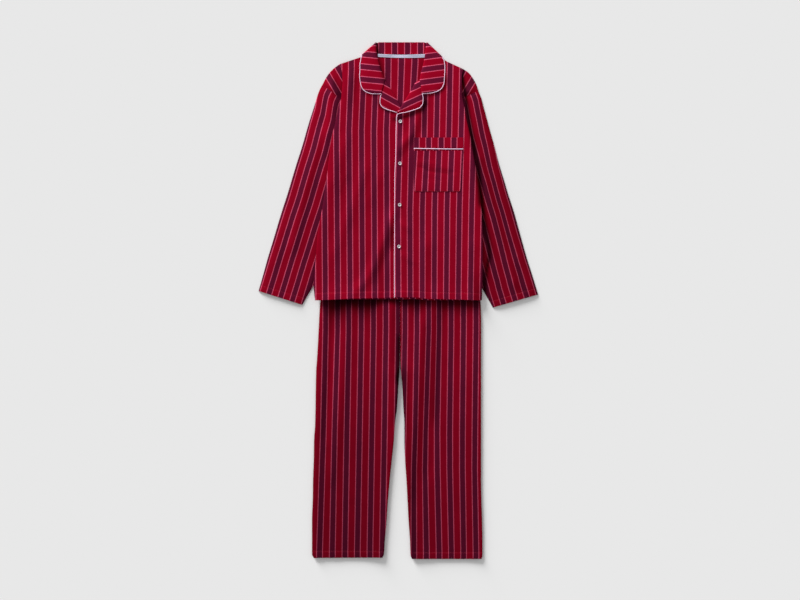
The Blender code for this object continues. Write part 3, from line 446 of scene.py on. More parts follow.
def from_sides(grid):
    """How far each point is from the first end of its row, and from the last one."""
    across = norm(np.diff(grid, axis=1), axis=-1)
    side = np.concatenate([np.zeros((len(grid), 1)), np.cumsum(across, axis=1)], axis=1)
    return side, side[:, -1:] - side


def by_level(points, table):
    """Values from a table of levels (y) and what they have."""
    return np.interp(points[..., 1], *table)


def fold_height(plan, ridges):
    """Height that soft ridges and troughs add at plan points."""
    total = np.zeros(plan.shape[:-1])
    for ridge in ridges:
        nearest = np.full(plan.shape[:-1], np.inf)
        along = np.zeros(plan.shape[:-1])
        done = 0.0
        for start, end in zip(ridge.path, ridge.path[1:]):
            way = end - start
            length = norm(way)
            share = np.clip((plan - start) @ way / length ** 2, 0, 1)
            away = norm(plan - start - share[..., None] * way, axis=-1)
            along = np.where(away < nearest, done + share * length, along)
            nearest = np.minimum(nearest, away)
            done += length
        ramp = min(done / 2, RIDGE_FADE * ridge.half_width)
        out = np.clip(np.minimum(along, done - along) / ramp, 0, 1)
        round_off = np.exp(-(nearest / ridge.half_width) ** 2) * out ** 2 * (3 - 2 * out)
        total += ridge.height * round_off
    return total


def painted_light_share(points, painted_marks):
    """Share of the cloth's colour that the painted shade and light leave."""
    return 1 + fold_height(points[..., :2], painted_marks)


def ripples(plan, size, height, turn):
    """A slow uneven swell, so that no panel is quite flat."""
    x, y = plan[..., 0] / size, plan[..., 1] / size
    swell = np.sin(1.7 * x + 0.6 * y + turn) * np.sin(0.9 * y - 0.5 * x + 2 * turn)
    swell += 0.5 * np.sin(3.1 * x - 1.3 * y + 3 * turn) * np.sin(1.9 * y + 0.4 + turn)
    return height * swell / 1.5


def directions(path):
    """Unit vectors along a path, one at each point."""
    way = np.gradient(path, axis=0)
    return way / norm(way, axis=1)[:, None]


def left_of(way):
    return np.column_stack([-way[:, 1], way[:, 0]])


def offset_path(path, distance):
    """A plan path moved to its left by a distance."""
    return path + distance * left_of(directions(path))


# ---- the bed and the laying

class Bed:
    """Top height of everything laid so far, in millimetres, on a square raster."""

    def __init__(self):
        self.top = np.zeros((int(2 * REACH[0] / CELL), int(2 * REACH[1] / CELL)))

    def spots(self, plan):
        spot = np.floor((plan + np.array(REACH)) / CELL).astype(int)
        return (np.clip(spot[..., 0], 1, self.top.shape[0] - 2),
                np.clip(spot[..., 1], 1, self.top.shape[1] - 2))

    def level(self, plan):
        """Highest level in the cells round each plan point."""
        x, y = self.spots(plan)
        sides = ((0, 0), (1, 0), (-1, 0), (0, 1), (0, -1))
        return np.max([self.top[x + i, y + j] for i, j in sides], axis=0)

    def clear(self, plan):
        """Height of a cloth's middle surface that just clears the bed."""
        return self.level(plan) + REST + CLOTH / 2

    def add(self, points, above=CLOTH / 2):
        """Takes in a grid of points whose upper side lies this far above them."""
        fine = points
        for _ in range(2):
            fine = halved(halved(fine).transpose(1, 0, 2)).transpose(1, 0, 2)
        x, y = self.spots(fine[..., :2])
        np.maximum.at(self.top, (x.ravel(), y.ravel()), (fine[..., 2] + above).ravel())


def halved(points):
    """The grid with a row added halfway between each two rows."""
    middle = (points[1:] + points[:-1]) / 2
    result = np.empty((len(points) + len(middle), *points.shape[1:]))
    result[0::2] = points
    result[1::2] = middle
    return result


def settle(need, rounds=ROUNDS):
    """A sheet's heights over what it needs to clear: it spans hollows, and sags a little."""
    height = need.copy()
    for _ in range(rounds):
        padded = np.pad(height, 1, mode="edge")
        around = (padded[2:, 1:-1] + padded[:-2, 1:-1] + padded[1:-1, 2:] + padded[1:-1, :-2]) / 4
        height = np.maximum(need, around - SAG)
    return height


def lay(grid, extra=0.0, rounds=ROUNDS):
    """Middle-surface points of a sheet laid on the bed, and the bed with it."""
    points = np.dstack([grid, settle(bed.clear(grid), rounds) + extra])
    bed.add(points)
    return points


def puff(grid, reach=PUFF_REACH, last_reach=None):
    """Share of the air in a panel, which has none at its sides."""
    first, last = from_sides(grid)
    last_reach = reach if last_reach is None else last_reach
    return (1 - np.exp(-first / reach)) * (1 - np.exp(-last / last_reach))


def curl(grid, *rises):
    """Rise of an under panel towards its sides, where its seams are held up by their own folds."""
    return sum(rise * np.exp(-(away / CURL_REACH) ** 2)
               for rise, away in zip(rises, from_sides(grid)))


def hem_relief(grid):
    """Thickness of a turned hem at the last row, and the trough of its stitches."""
    up = (from_end(grid) - HEM) / HEM_EASE
    relief = HEM_FOLD * (0.5 - 0.5 * np.tanh(up)) - HEM_TROUGH * np.exp(-up ** 2)
    return relief[:, None] + np.zeros(grid.shape[:2])


# ---- stripes on the cloth

def stripes_by_bands(grid, bands):
    """Distance across the stripes, so that the bands cross each level where they should."""
    x, y = grid[..., 0], grid[..., 1]
    levels, *places = np.array(bands.rows, float)[::-1].T
    at = np.array([np.interp(y, levels, place) for place in places])
    index = np.clip((x > at).sum(0, keepdims=True) - 1, 0, len(at) - 2)
    low, high = (np.take_along_axis(at, index + k, 0)[0] for k in (0, 1))
    number = bands.first + bands.step * (index[0] + (x - low) / (high - low))
    return np.dstack([number * BAND_PERIOD, -y])


def stripes_on_slant(grid, slant):
    x, y = slant.across
    across = grid @ np.array((x, y)) - slant.place
    return np.dstack([across / slant.period * BAND_PERIOD, grid @ np.array((y, -x))])


def stripes_on_sleeve(grid, bands):
    """Distance in from the outer fold, square to it, from the sleeve's first band."""
    outer = grid[:, 0]
    way = directions(outer)
    for _ in range(WAY_PASSES):
        padded = np.pad(way, ((1, 1), (0, 0)), mode="edge")
        way = (padded[2:] + padded[:-2] + way) / 3
    inward = left_of(way)
    inward = inward * np.sign((inward * (grid[:, -1] - outer)).sum(1))[:, None]
    start, gather = (np.interp(outer[:, 1], bands.levels, values)[:, None]
                     for values in (bands.starts, bands.gathers))
    away = ((grid - outer[:, None]) * inward[:, None]).sum(-1) - start
    share = np.clip((away - GATHER_START) / GATHER_WIDTH, 0, 1)
    beyond = ((grid - outer[:, None]) * way[:, None]).sum(-1)
    return np.dstack([away + gather * share ** 2 * (3 - 2 * share),
                      from_start(grid[:, :1])[:, None] + beyond])


# ---- meshes

def in_frame(points):
    """Plan millimetres as the frame's metres."""
    points = np.array(points, float) * MM
    points[..., 0] += PLAN_X
    points[..., 1] += PLAN_Y
    return points


def link(name, data, *materials):
    piece = bpy.data.objects.new(name, data)
    for material in materials:
        data.materials.append(material)
    bpy.context.scene.collection.objects.link(piece)
    return piece


def plain_mesh(name, points, edges, faces):
    mesh = bpy.data.meshes.new(name)
    mesh.from_pydata(points, edges, faces)
    return mesh


def modify(piece, name, kind, **settings):
    modifier = piece.modifiers.new(name, kind)
    for key, value in settings.items():
        setattr(modifier, key, value)
    return modifier


def evaluated_mesh(piece):
    """A piece's mesh with its modifiers, as a smooth mesh of its own."""
    graph = bpy.context.evaluated_depsgraph_get()
    mesh = bpy.data.meshes.new_from_object(piece.evaluated_get(graph))
    mesh.shade_smooth()
    return mesh


def write_out(shape, mesh):
    """Ends a shape as the mesh, with its faces outwards, or up where it is open."""
    bmesh.ops.recalc_face_normals(shape, faces=shape.faces)
    if max(shape.faces, key=lambda face: face.calc_center_median().z).normal.z < 0:
        bmesh.ops.reverse_faces(shape, faces=shape.faces)
    shape.to_mesh(mesh)
    shape.free()
    return mesh


def mesh_from(name, points, faces, uvs, painted_light_values=None):
    """A mesh with one map, whose corners take the given millimetre pairs as metres."""
    mesh = plain_mesh(name, in_frame(points).tolist(), [], faces)
    layer = mesh.uv_layers.new(name="cloth_map")
    layer.data.foreach_set("uv", (uvs * MM).ravel())
    mesh.shade_smooth()
    # Painted light and shade: a share for each point that the cloth's colour is multiplied by
    if painted_light_values is not None:
        mesh.attributes.new("painted_light", "FLOAT", "POINT").data.foreach_set("value", painted_light_values.ravel())
    shape = bmesh.new()
    shape.from_mesh(mesh)
    return write_out(shape, mesh)


def grid_faces(rows, columns, ring=False):
    """Quads of a grid, row by row; a ring's last column joins its first."""
    wide = columns if ring else columns - 1
    row, column = np.meshgrid(np.arange(rows - 1), np.arange(wide), indexing="ij")
    row, column = row.ravel(), column.ravel()
    beside = (column + 1) % columns
    return np.stack([row * columns + column, (row + 1) * columns + column,
                     (row + 1) * columns + beside, row * columns + beside], axis=1)


def cloth(name, points, stripe, material, ring=False, head=None, painted_light=1.0, wall=CLOTH):
    """A thin shell on a grid of middle-surface points, with its stripes on its map.

    A head is the number of its last row and the stripes that it has down to there.
    """
    rows, columns = points.shape[:2]
    quads = grid_faces(rows, columns, ring)
    uvs = stripe.reshape(-1, 2)[quads]
    if head is not None:
        upper = quads[:, 1] // columns <= head[0]
        uvs[upper] = head[1].reshape(-1, 2)[quads[upper]]
    # The painted light and shade go on the mesh as a share for each point
    mesh = mesh_from(name, points.reshape(-1, 3), quads.tolist(), uvs,
                     np.zeros((rows, columns)) + painted_light)
    piece = link(name, mesh, material)
    modify(piece, "wall", "SOLIDIFY", thickness=wall * MM, offset=0.0)
    modify(piece, "rim", "BEVEL", width=RIM * MM, segments=2, limit_method="ANGLE",
           angle_limit=math.radians(60))
    return piece


def tube_along(name, path, radius, material, sides=10):
    """A round cord on a path of centre points, with closed ends and a map along it.

    Its radius is one number, or one for each point.
    """
    path = np.array(path, float)
    radius = np.broadcast_to(radius, len(path))
    way = directions(path)
    side = np.cross(way, (0, 0, 1.0))
    side = side / np.maximum(norm(side, axis=1), 1e-6)[:, None]
    for index in range(1, len(side)):
        if side[index] @ side[index - 1] < 0:
            side[index] = -side[index]
    up = np.cross(side, way)
    angles = np.arange(sides) * 2 * math.pi / sides
    turned = np.cos(angles)[:, None] * side[:, None] + np.sin(angles)[:, None] * up[:, None]
    rings = path[:, None] + radius[:, None, None] * turned
    quads = grid_faces(len(path), sides, ring=True)[:, [0, 3, 2, 1]]
    row, column = np.divmod(quads[:, :1], sides)
    along = running(norm(np.diff(path, axis=0), axis=1))
    uvs = np.dstack([(column + (0, 1, 1, 0)) * (2 * math.pi * radius[0] / sides),
                     along[row + (0, 0, 1, 1)]]).reshape(-1, 2)
    ends = np.arange(len(path) * sides)
    faces = [*quads.tolist(), ends[sides - 1::-1].tolist(), ends[-sides:].tolist()]
    return link(name, mesh_from(name, rings.reshape(-1, 3), faces,
                                np.vstack([uvs, np.zeros((2 * sides, 2))])), material)


# ---- materials

class Shade:
    """A node's output that takes arithmetic and adds the Math nodes for it."""

    def __init__(self, tree, socket):
        self.tree, self.socket = tree, socket

    def math(self, operation, *others):
        return self.tree.node("ShaderNodeMath", {"operation": operation}, self, *others)

    def __add__(self, other): return self.math("ADD", other)
    def __radd__(self, other): return self.math("ADD", other)
    def __mul__(self, other): return self.math("MULTIPLY", other)
    def __rmul__(self, other): return self.math("MULTIPLY", other)
    def __sub__(self, other): return self.math("SUBTRACT", other)
    def __truediv__(self, other): return self.math("DIVIDE", other)

    def __rsub__(self, other):
        return self.tree.node("ShaderNodeMath", {"operation": "SUBTRACT"}, other, self)

    def out(self, key):
        """Another output of the same node."""
        return Shade(self.tree, self.socket.node.outputs[key])


class Tree:
    """A node tree: values in, nodes out."""

    def __init__(self, tree):
        self.nodes, self.links = tree.nodes, tree.links

    def node(self, kind, settings, *values, output=0, **named):
        """Adds a node with its settings, and gives its sockets values by place or name."""
        added = self.nodes.new(kind)
        for key, value in settings.items():
            setattr(added, key, value)
        self.give(added, {**dict(enumerate(values)), **named})
        return Shade(self, added.outputs[output])

    def give(self, node, values):
        for key, value in values.items():
            socket = node.inputs[key.replace("_", " ") if isinstance(key, str) else key]
            if isinstance(value, Shade):
                self.links.new(value.socket, socket)
            elif value is not None:
                rgb = socket.type == "RGBA" and len(value) == 3
                socket.default_value = (*value, 1.0) if rgb else value


class Paint(Tree):
    """A material's nodes."""

    def __init__(self, name):
        self.material = bpy.data.materials.new(name)
        self.material.use_nodes = True
        super().__init__(self.material.node_tree)

    def finish(self, **values):
        """The material, whose surface takes these values."""
        self.give(self.nodes["Principled BSDF"], values)
        return self.material

    def mix(self, share, first, second, blend="MIX"):
        """Two colours mixed by a share."""
        return self.node("ShaderNodeMix", {"data_type": "RGBA", "blend_type": blend}, share,
                         *[None] * 5, first, second, output=2)

    def tinted(self, colour, value):
        shade = self.node("ShaderNodeCombineColor", {}, value, value, value)
        return self.mix(1.0, colour, shade, "MULTIPLY")

    def step(self, value, low, high):
        """0 below low and 1 above high, with a soft way between."""
        return self.node("ShaderNodeMapRange", {"interpolation_type": "SMOOTHSTEP"},
                         value, low, high, 0.0, 1.0)

    def noise(self, vector, scale, detail=2.0, roughness=0.5):
        """Soft noise; with three scales, it is drawn out by them."""
        if isinstance(scale, tuple):
            vector, scale = self.node("ShaderNodeMapping", {}, vector, None, None, scale), 1.0
        return self.node("ShaderNodeTexNoise", {}, Vector=vector, Scale=scale, Detail=detail,
                         Roughness=roughness)

    def ribs(self, value, pitch):
        return ((value / pitch) * (2 * math.pi)).math("SINE")

    def bump(self, height, distance, strength, normal=None):
        return self.node("ShaderNodeBump", {}, Strength=strength, Distance=distance * MM,
                         Height=height, Normal=normal)

    def solid(self):
        """Places in space, as the part has them at rest."""
        return self.node("ShaderNodeTexCoord", {}, output=3)

    def on_cloth(self):
        """Places on the cloth's map, and their distances across and along."""
        place = self.node("ShaderNodeUVMap", {"uv_map": "cloth_map"})
        across = self.node("ShaderNodeSeparateXYZ", {}, place)
        return place, across, across.out(1)


def flannel():
    """Brushed twill: red weft through red, navy and rose warp stripes, under a soft nap."""
    paint = Paint("flannel")
    place, across, along = paint.on_cloth()
    solid = paint.solid()

    waver = paint.noise(place, 90.0, 1.0)
    yarn_waver = paint.noise(place, 1500.0, 1.0)
    band = across / (BAND_PERIOD * MM) + (waver - 0.5) * 0.024 + (yarn_waver - 0.5) * 0.030
    away = (band - band.math("ROUND")).math("ABSOLUTE")
    inside = 1.0 - paint.step(away, *BAND_EDGE)
    line = 1.0 - paint.step((away - LINE_PLACE).math("ABSOLUTE"), *LINE_EDGE)

    thread = THREAD * MM
    twill = ((across + along) / (3 * thread)).math("FRACT")
    weft = paint.step((twill - 0.5).math("ABSOLUTE"), 0.30, 0.42)
    relief = paint.ribs(across, thread) * paint.ribs(along, thread) * 0.25 + weft * 0.5

    slub = paint.noise(place, (1400.0, 160.0, 1.0))
    nap = paint.noise(solid, 900.0, 3.0, 0.65)
    cloud = paint.noise(solid, 26.0)
    dash = paint.noise(place, (60.0, 330.0, 1.0), 1.0)

    warp = paint.mix(inside, RED, NAVY)
    warp = paint.mix(line * (0.42 + dash * 0.95), warp, ROSE)
    weave = paint.mix(0.16 + weft * 0.42, warp, RED)
    fuzz = 0.74 + nap * 0.30 + slub * 0.16 + (cloud - 0.5) * 0.22
    # Painted light and shade: each point's painted share darkens or lightens the yarn colours
    painted_light = paint.node("ShaderNodeAttribute", {"attribute_name": "painted_light"}, output=2)
    height = relief * 0.35 + nap * 0.9 + slub * 0.4
    return paint.finish(
        Base_Color=paint.tinted(weave, fuzz * painted_light), Roughness=0.84 + nap * 0.12,
        Normal=paint.bump(height, 0.22, 0.55, paint.bump(cloud, 1.2, 0.35)),
        Specular_IOR_Level=0.10, Specular_Tint=(1.0, 0.05, 0.12),
        Sheen_Weight=0.04, Sheen_Roughness=0.6, Sheen_Tint=(1.0, 0.10, 0.18))


def ribbed(name, colour, pitch, bright, rib_share, wear_scale, rough, specular, zigzag=None):
    """Smooth cotton with fine slanted ribs, which turn back at each zigzag on a tape."""
    paint = Paint(name)
    _, across, along = paint.on_cloth()
    if zigzag:
        across = ((across / zigzag).math("FRACT") - 0.5).math("ABSOLUTE") * zigzag
    rib = paint.ribs(across + along, pitch)
    wear = paint.noise(paint.solid(), wear_scale)
    value = bright + rib * rib_share + (wear - 0.5) * 0.12
    return paint.finish(Base_Color=paint.tinted(colour, value), Roughness=rough + wear * 0.15,
                        Normal=paint.bump(rib, 0.1, 0.5), Specular_IOR_Level=specular,
                        Sheen_Weight=0.1)


def pearl():
    """Polished pearl-effect resin with faint clouded layers."""
    paint = Paint("button_pearl")
    solid = paint.solid()
    cloud = paint.noise(solid, 260.0, 3.0)
    layers = paint.node("ShaderNodeTexWave", {"wave_type": "BANDS"}, Vector=solid, Scale=90.0,
                        Distortion=14.0, Detail=2.0)
    return paint.finish(Base_Color=paint.mix(0.25 + cloud * 0.5, PEARL, PEARL_CLOUD),
                        Roughness=0.18 + layers * 0.10, Normal=paint.bump(cloud, 0.15, 0.2),
                        Coat_Weight=0.35, Coat_Roughness=0.12)


def sewing_thread(name, colour):
    """Twisted sewing thread."""
    paint = Paint(name)
    twist = paint.node("ShaderNodeTexWave", {"bands_direction": "DIAGONAL"},
                       Vector=paint.solid(), Scale=700.0, Distortion=1.0)
    dark = tuple(0.7 * part for part in colour)
    return paint.finish(Base_Color=paint.mix(twist, dark, colour), Roughness=0.45 + twist * 0.15,
                        Normal=paint.bump(twist, 0.08, 0.5), Specular_IOR_Level=0.4)


cloth_finish = flannel()
piping_finish = ribbed("piping_cotton", WHITE, 0.6 * MM, 0.92, 0.04, 120.0, 0.55, 0.3)
tape_finish = ribbed("neck_tape_weave", SKY, 0.7 * MM, 0.90, 0.05, 60.0, 0.5, 0.35, 3.2 * MM)
pearl_finish = pearl()
red_thread = sewing_thread("red_thread", (0.30, 0.010, 0.030))
plum_thread = sewing_thread("plum_thread", (0.10, 0.09, 0.12))


# ---- finished pieces

bed = Bed()
seams = []  # plan paths and heights that the stitches follow


def ready(piece, slot_name, *nodes):
    """Puts a finished piece on the part."""
    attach(piece, "root")
    if nodes:
        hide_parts(*nodes)
    return piece


def flat_area(grid):
    """Plan area of a grid, in square metres."""
    a, b = grid[1:, 1:] - grid[:-1, :-1], grid[1:, :-1] - grid[:-1, 1:]
    return float(np.abs(a[..., 0] * b[..., 1] - a[..., 1] * b[..., 0]).sum() / 2) * MM * MM


def declare(piece, grid, rests_on, width=None, length=None, layers=1):
    """Works out a laid sheet's width and length, from its plan or as given, and its area; nothing
    more is done with them.
    """
    span = np.ptp(grid.reshape(-1, 2), axis=0)
    width = (width or span[0]) * MM
    length = (length or span[1]) * MM
    area = min(flat_area(grid) * layers, width * length)


def panel(name, points, stripe, rests_on, painted_light=1.0, cut=(None, None)):
    """One sheet of flannel from its laid points."""
    # The sheet's painted light and shade go to its cloth
    piece = ready(cloth(name, points, stripe, cloth_finish, painted_light=painted_light), "flannel", name)
    declare(piece, points[..., :2], rests_on, *cut)


def piping(name, path, radius=PIPING_RADIUS):
    ready(tube_along(name, path, radius, piping_finish), "piping", name)


def stitch_along(line):
    """Keeps a row or a column of a sheet's points as a line of stitches."""
    seams.append(line + (0, 0, CLOTH / 2))


def stitch_hem(points, grid):
    stitch_along(points[int(np.argmin(abs(from_end(grid) - HEM)))])


def piping_path(path, distance, radius=PIPING_RADIUS, start=0.0):
    """Centre points of a piping along a plan path, lying on the bed."""
    length = length_of(path)
    shares = np.linspace(start / length, 1, max(3, round(length / PIPING_STEP)))
    line = offset_path(smooth(path, shares), distance)
    level = bed.level(line)
    for _ in range(3):
        padded = np.pad(level, 1, mode="edge")
        level = np.maximum(level, (padded[2:] + padded[:-2]) / 2)
    return np.column_stack([line, level + radius + REST])


# ---- trousers

def leg_sides(grid, side):
    """At a leg's first and last side: its rise, and how far its roundness reaches in."""
    rows = grid[:, :1]
    outer = by_level(rows, OUTER_RISE) * SEAM_RISE, OUTER_REACH
    inner = by_level(rows, INNER_RISE[side]) * SEAM_RISE, by_level(rows, INNER_REACH)
    return (outer, inner) if side == "right" else (inner, outer)


def painted_hem_shadow(grid):
    """Painted shadow of the jacket's hem: the share of the trousers' colour left below it."""
    reach = np.interp(grid[..., 0], *HEM_PAINTED_SHADOW_REACH)
    depth = np.interp(grid[..., 0], *HEM_PAINTED_SHADOW)
    return 1 - depth * np.exp(-(np.maximum(-grid[..., 1], 0) / reach) ** 2)


def build_legs():
    sides = (("right", LEG_RIGHT, BANDS_LEG_RIGHT), ("left", LEG_LEFT, BANDS_LEG_LEFT))
    for side, rows, bands in sides:
        grid = hemmed_grid(rows)
        (first, _), (last, _) = leg_sides(grid, side)
        points = lay(grid, np.maximum(hem_relief(grid), 0) + curl(grid, first, last))
        # The trousers' backs take a painted shade
        panel("leg_back_" + side, points, stripes_by_bands(grid, bands), [], LEG_BACK_PAINTED_LIGHT)
    for side, rows, bands in sides:
        grid = hemmed_grid(rows)
        (_, first), (_, last) = leg_sides(grid, side)
        soft = puff(grid, first, last)
        relief = LEG_AIR + fold_height(grid, LEG_FOLDS) + ripples(grid, *LEG_RIPPLES)
        relief = np.maximum(relief * soft * by_level(grid, LEG_SWELL), LEG_LEAST * soft)
        points = lay(grid, relief + hem_relief(grid))
        # Painted shade: the trousers darker lower down, a painted shadow below the jacket's hem,
        # and painted shade and light along the folds
        painted_light = by_level(grid, LEG_PAINTED_LIGHT[side]) * painted_hem_shadow(grid) * painted_light_share(grid, PAINTED_LIGHT_AND_SHADE)
        panel("leg_front_" + side, points, stripes_by_bands(grid, bands), ["leg_back_" + side],
              painted_light)
        stitch_hem(points, grid)


def ring_of(grid, top, bottom):
    """Middle-surface rings of a flattened tube: along the bottom, round, and back on top."""
    way = grid[:, -1:] - grid[:, :1]
    width = norm(way, axis=-1, keepdims=True)
    way = way / width
    share = norm(grid - grid[:, :1], axis=-1, keepdims=True) / width
    plan = grid[:, :1] + (FOLD_RADIUS + (width - 2 * FOLD_RADIUS) * share) * way
    turns = np.linspace(-math.pi / 2, math.pi / 2, TURNS + 2)[None, 1:-1]
    parts = [np.dstack([plan, bottom])]
    for column, side in ((-1, 1), (0, -1)):
        under, over = bottom[:, column, None], top[:, column, None]
        spot = plan[:, column, None] + side * FOLD_RADIUS * np.cos(turns)[..., None] * way
        parts.append(np.dstack([spot, (under + over) / 2
                                + side * (over - under) / 2 * np.sin(turns)]))
    parts.insert(2, np.dstack([plan, top])[:, ::-1])
    return np.concatenate(parts, axis=1)


def ring_values(values):
    """Values of a tube's flat grid carried round its rings."""
    first, last = values[:, :1], values[:, -1:]
    return np.concatenate([values, np.repeat(last, TURNS, 1), values[:, ::-1],
                           np.repeat(first, TURNS, 1)], axis=1)


def build_tube(name, grid, stripe, relief, under, painted_light, head=None):
    """A flattened tube of cloth, a sleeve or the waistband: the piece and its upper side."""
    bottom = settle(under.clear(grid), TUBE_ROUNDS)
    top = bottom + CLOTH + TUBE_AIR + relief
    upper = np.dstack([grid, top])
    bed.add(upper)
    # The tube's painted light and shade, with painted shade and light along its folds, multiply
    # its colour
    piece = cloth(name, ring_of(grid, top, bottom), ring_values(stripe), cloth_finish, ring=True,
                  head=head, painted_light=ring_values(painted_light * painted_light_share(grid, PAINTED_LIGHT_AND_SHADE)))
    return ready(piece, "flannel", name), upper


def build_waistband():
    """The waistband, gathered by its elastic, beside the legs' upper edges."""
    grid = panel_grid(WAISTBAND)
    x = grid[..., 0]
    gathers = 0.9 + 0.7 * np.sin(x / 2.3) + 0.3 * np.sin(x / 0.9 + 1)
    # The waistband takes a painted shade, with painted shade and light along its folds
    piece, _ = build_tube("waistband", grid, stripes_by_bands(grid, BANDS_WAIST), gathers, Bed(),
                          WAISTBAND_PAINTED_LIGHT)
    declare(piece, grid, ["leg_front_left", "leg_front_right"], *WAISTBAND_CUT, layers=2)


# ---- jacket

def build_sleeves():
    for side, rows, bands, slant in (
            ("right", SLEEVE_RIGHT, SLEEVE_BANDS_RIGHT, SLANT_HEAD_RIGHT),
            ("left", SLEEVE_LEFT, SLEEVE_BANDS_LEFT, SLANT_HEAD_LEFT)):
        grid = hemmed_grid(rows)
        growth = np.clip(from_start(grid) / SLEEVE_EASE, SLEEVE_LEAST, 1)[:, None]
        swell = SLEEVE_AIR + fold_height(grid, SLEEVE_FOLDS) + ripples(grid, *SLEEVE_RIPPLES)
        crease = int(np.argmin(norm(grid[:, 0] - rows[CREASE_ROW, 0], axis=1)))
        # The sleeves take a painted shade that is darker lower down, with painted shade and light
        # along their folds
        piece, upper = build_tube(
            "sleeve_" + side, grid, stripes_on_sleeve(grid, bands),
            puff(grid) * swell * growth + hem_relief(grid), bed,
            by_level(grid, SLEEVE_PAINTED_LIGHT[side]),
            (crease, ring_values(stripes_on_slant(grid, slant))))
        span = norm(grid[:, -1] - grid[:, 0], axis=1)
        declare(piece, grid, [], 2 * span.max(), length_of(grid[:, 0]), layers=2)
        stitch_hem(upper, grid)


def raise_hem(grid):
    """Moves the jacket's hem line, and the cloth above it less and less."""
    rise = np.interp(grid[..., 0], *HEM_RISE)
    grid[..., 1] += rise * np.clip(1 - grid[..., 1] / HEM_RISE_FADES, 0, 1)


def build_back():
    """The back panel: its first row follows the shoulders and the neckline."""
    grid = hemmed_grid(np.stack([JACKET_RIGHT[:, 0], JACKET_LEFT[:, 1]], axis=1))
    rise = np.interp(grid[0, :, 0], *NECK_LINE.T) - grid[0, :, 1]
    grid[:, :, 1] += np.clip(1 - from_start(grid) / NECK_EASE, 0, 1)[:, None] * rise
    raise_hem(grid)
    sides = by_level(grid[:, :1], BACK_RISE) * SEAM_RISE
    relief = ((fold_height(grid, BACK_FOLDS) + BACK_AIR) * puff(grid)
              + by_level(grid, BACK_LIFT) * puff(grid, BACK_REACH) + curl(grid, sides, sides))
    points = lay(grid, relief, rounds=BACK_ROUNDS)
    # The back takes painted light near the neck and painted shade inside it
    panel("jacket_back", points, stripes_by_bands(grid, BANDS_BACK),
          ["sleeve_left", "sleeve_right", "waistband", "leg_front_left", "leg_front_right"],
          by_level(grid, BACK_PAINTED_LIGHT) * painted_light_share(grid, NECK_PAINTED_SHADE))


def build_stand_and_tape():
    grid = panel_grid(STAND, step=TRIM_STEP)
    points = lay(grid, TRIM_AIR * puff(grid, TRIM_REACH))
    # The stand takes a painted shade, deeper beside the collar's roll
    panel("collar_stand", points, stripes_by_bands(grid, BANDS_STAND), ["jacket_back"],
          STAND_PAINTED_LIGHT * painted_light_share(grid, COLLAR_PAINTED_SHADE))
    grid = panel_grid(TAPE, step=TAPE_STEP)
    share = (grid[..., 0] - grid[..., 0].min()) / np.ptp(grid[..., 0])
    grid[..., 1] -= TAPE_SAG * 4 * share * (1 - share)
    tape = cloth("neck_tape", lay(grid), grid, tape_finish, wall=TAPE_CLOTH)
    ready(tape, "tape", "neck_tape")
    declare(tape, grid, ["collar_stand", "jacket_back"])


def build_fronts():
    """Both fronts, and the path of the cord that lies on the right one beside the left's edge."""
    for side, rows, bands, under in (
            ("right", JACKET_RIGHT, BANDS_RIGHT, ["jacket_back"]),
            ("left", JACKET_LEFT, BANDS_LEFT, ["front_right", "jacket_back"])):
        grid = hemmed_grid(rows)
        raise_hem(grid)
        at_side, at_edge = from_sides(grid)[::1 if side == "right" else -1]
        soft = 1 - np.exp(-at_side / FRONT_SIDE_REACH)
        soft = soft * (1 - FRONT_EDGE_LOSS * np.exp(-at_edge / FRONT_EDGE_REACH))
        relief = soft * (by_level(grid, FRONT_AIR) + fold_height(grid, JACKET_FOLDS)
                         + ripples(grid, *FRONT_RIPPLES))
        ease = np.clip(from_start(grid) / SHOULDER_EASE, 0, 1)[:, None]
        points = lay(grid, relief * ease + hem_relief(grid), rounds=FRONT_ROUNDS)
        # The fronts take a painted shade that is darker towards the hem, with painted shade and
        # light along their folds and painted shadow under the collar and lapels
        panel("front_" + side, points, stripes_by_bands(grid, bands), under,
              by_level(grid, FRONT_PAINTED_LIGHT) * painted_light_share(grid, FRONT_PAINTED_LIGHT_AND_SHADE))
        stitch_hem(points, grid)
        if side == "right":
            cord = piping_path(JACKET_LEFT[LAPEL_ROWS:, 0], -PIPING_SIDE)
    return cord


def build_pocket():
    grid = panel_grid(POCKET, step=TRIM_STEP)
    closed = (1 - np.exp(-from_end(grid) / TRIM_REACH))[:, None]
    relief = POCKET_AIR * puff(grid, TRIM_REACH) + fold_height(grid, POCKET_FOLDS)
    points = lay(grid, relief * closed)
    # The pocket takes a painted shade, deeper in its crease
    panel("pocket", points, stripes_by_bands(grid, BANDS_POCKET), ["front_left"],
          POCKET_PAINTED_LIGHT * painted_light_share(grid, POCKET_PAINTED_SHADE))
    for line in (points[:, SEWN_STEP], points[:, -1 - SEWN_STEP], points[-1 - SEWN_STEP]):
        stitch_along(line)
    grid = panel_grid(POCKET_BAND, step=TRIM_STEP)
    # The pocket's band takes a painted shade
    panel("pocket_band", lay(grid, TRIM_AIR * puff(grid, TRIM_REACH)),
          stripes_by_bands(grid, BANDS_POCKET_TOP), ["front_left"], POCKET_PAINTED_LIGHT)
    piping("pocket_piping", piping_path(POCKET_PIPING, 0.0, POCKET_PIPING_RADIUS),
           POCKET_PIPING_RADIUS)


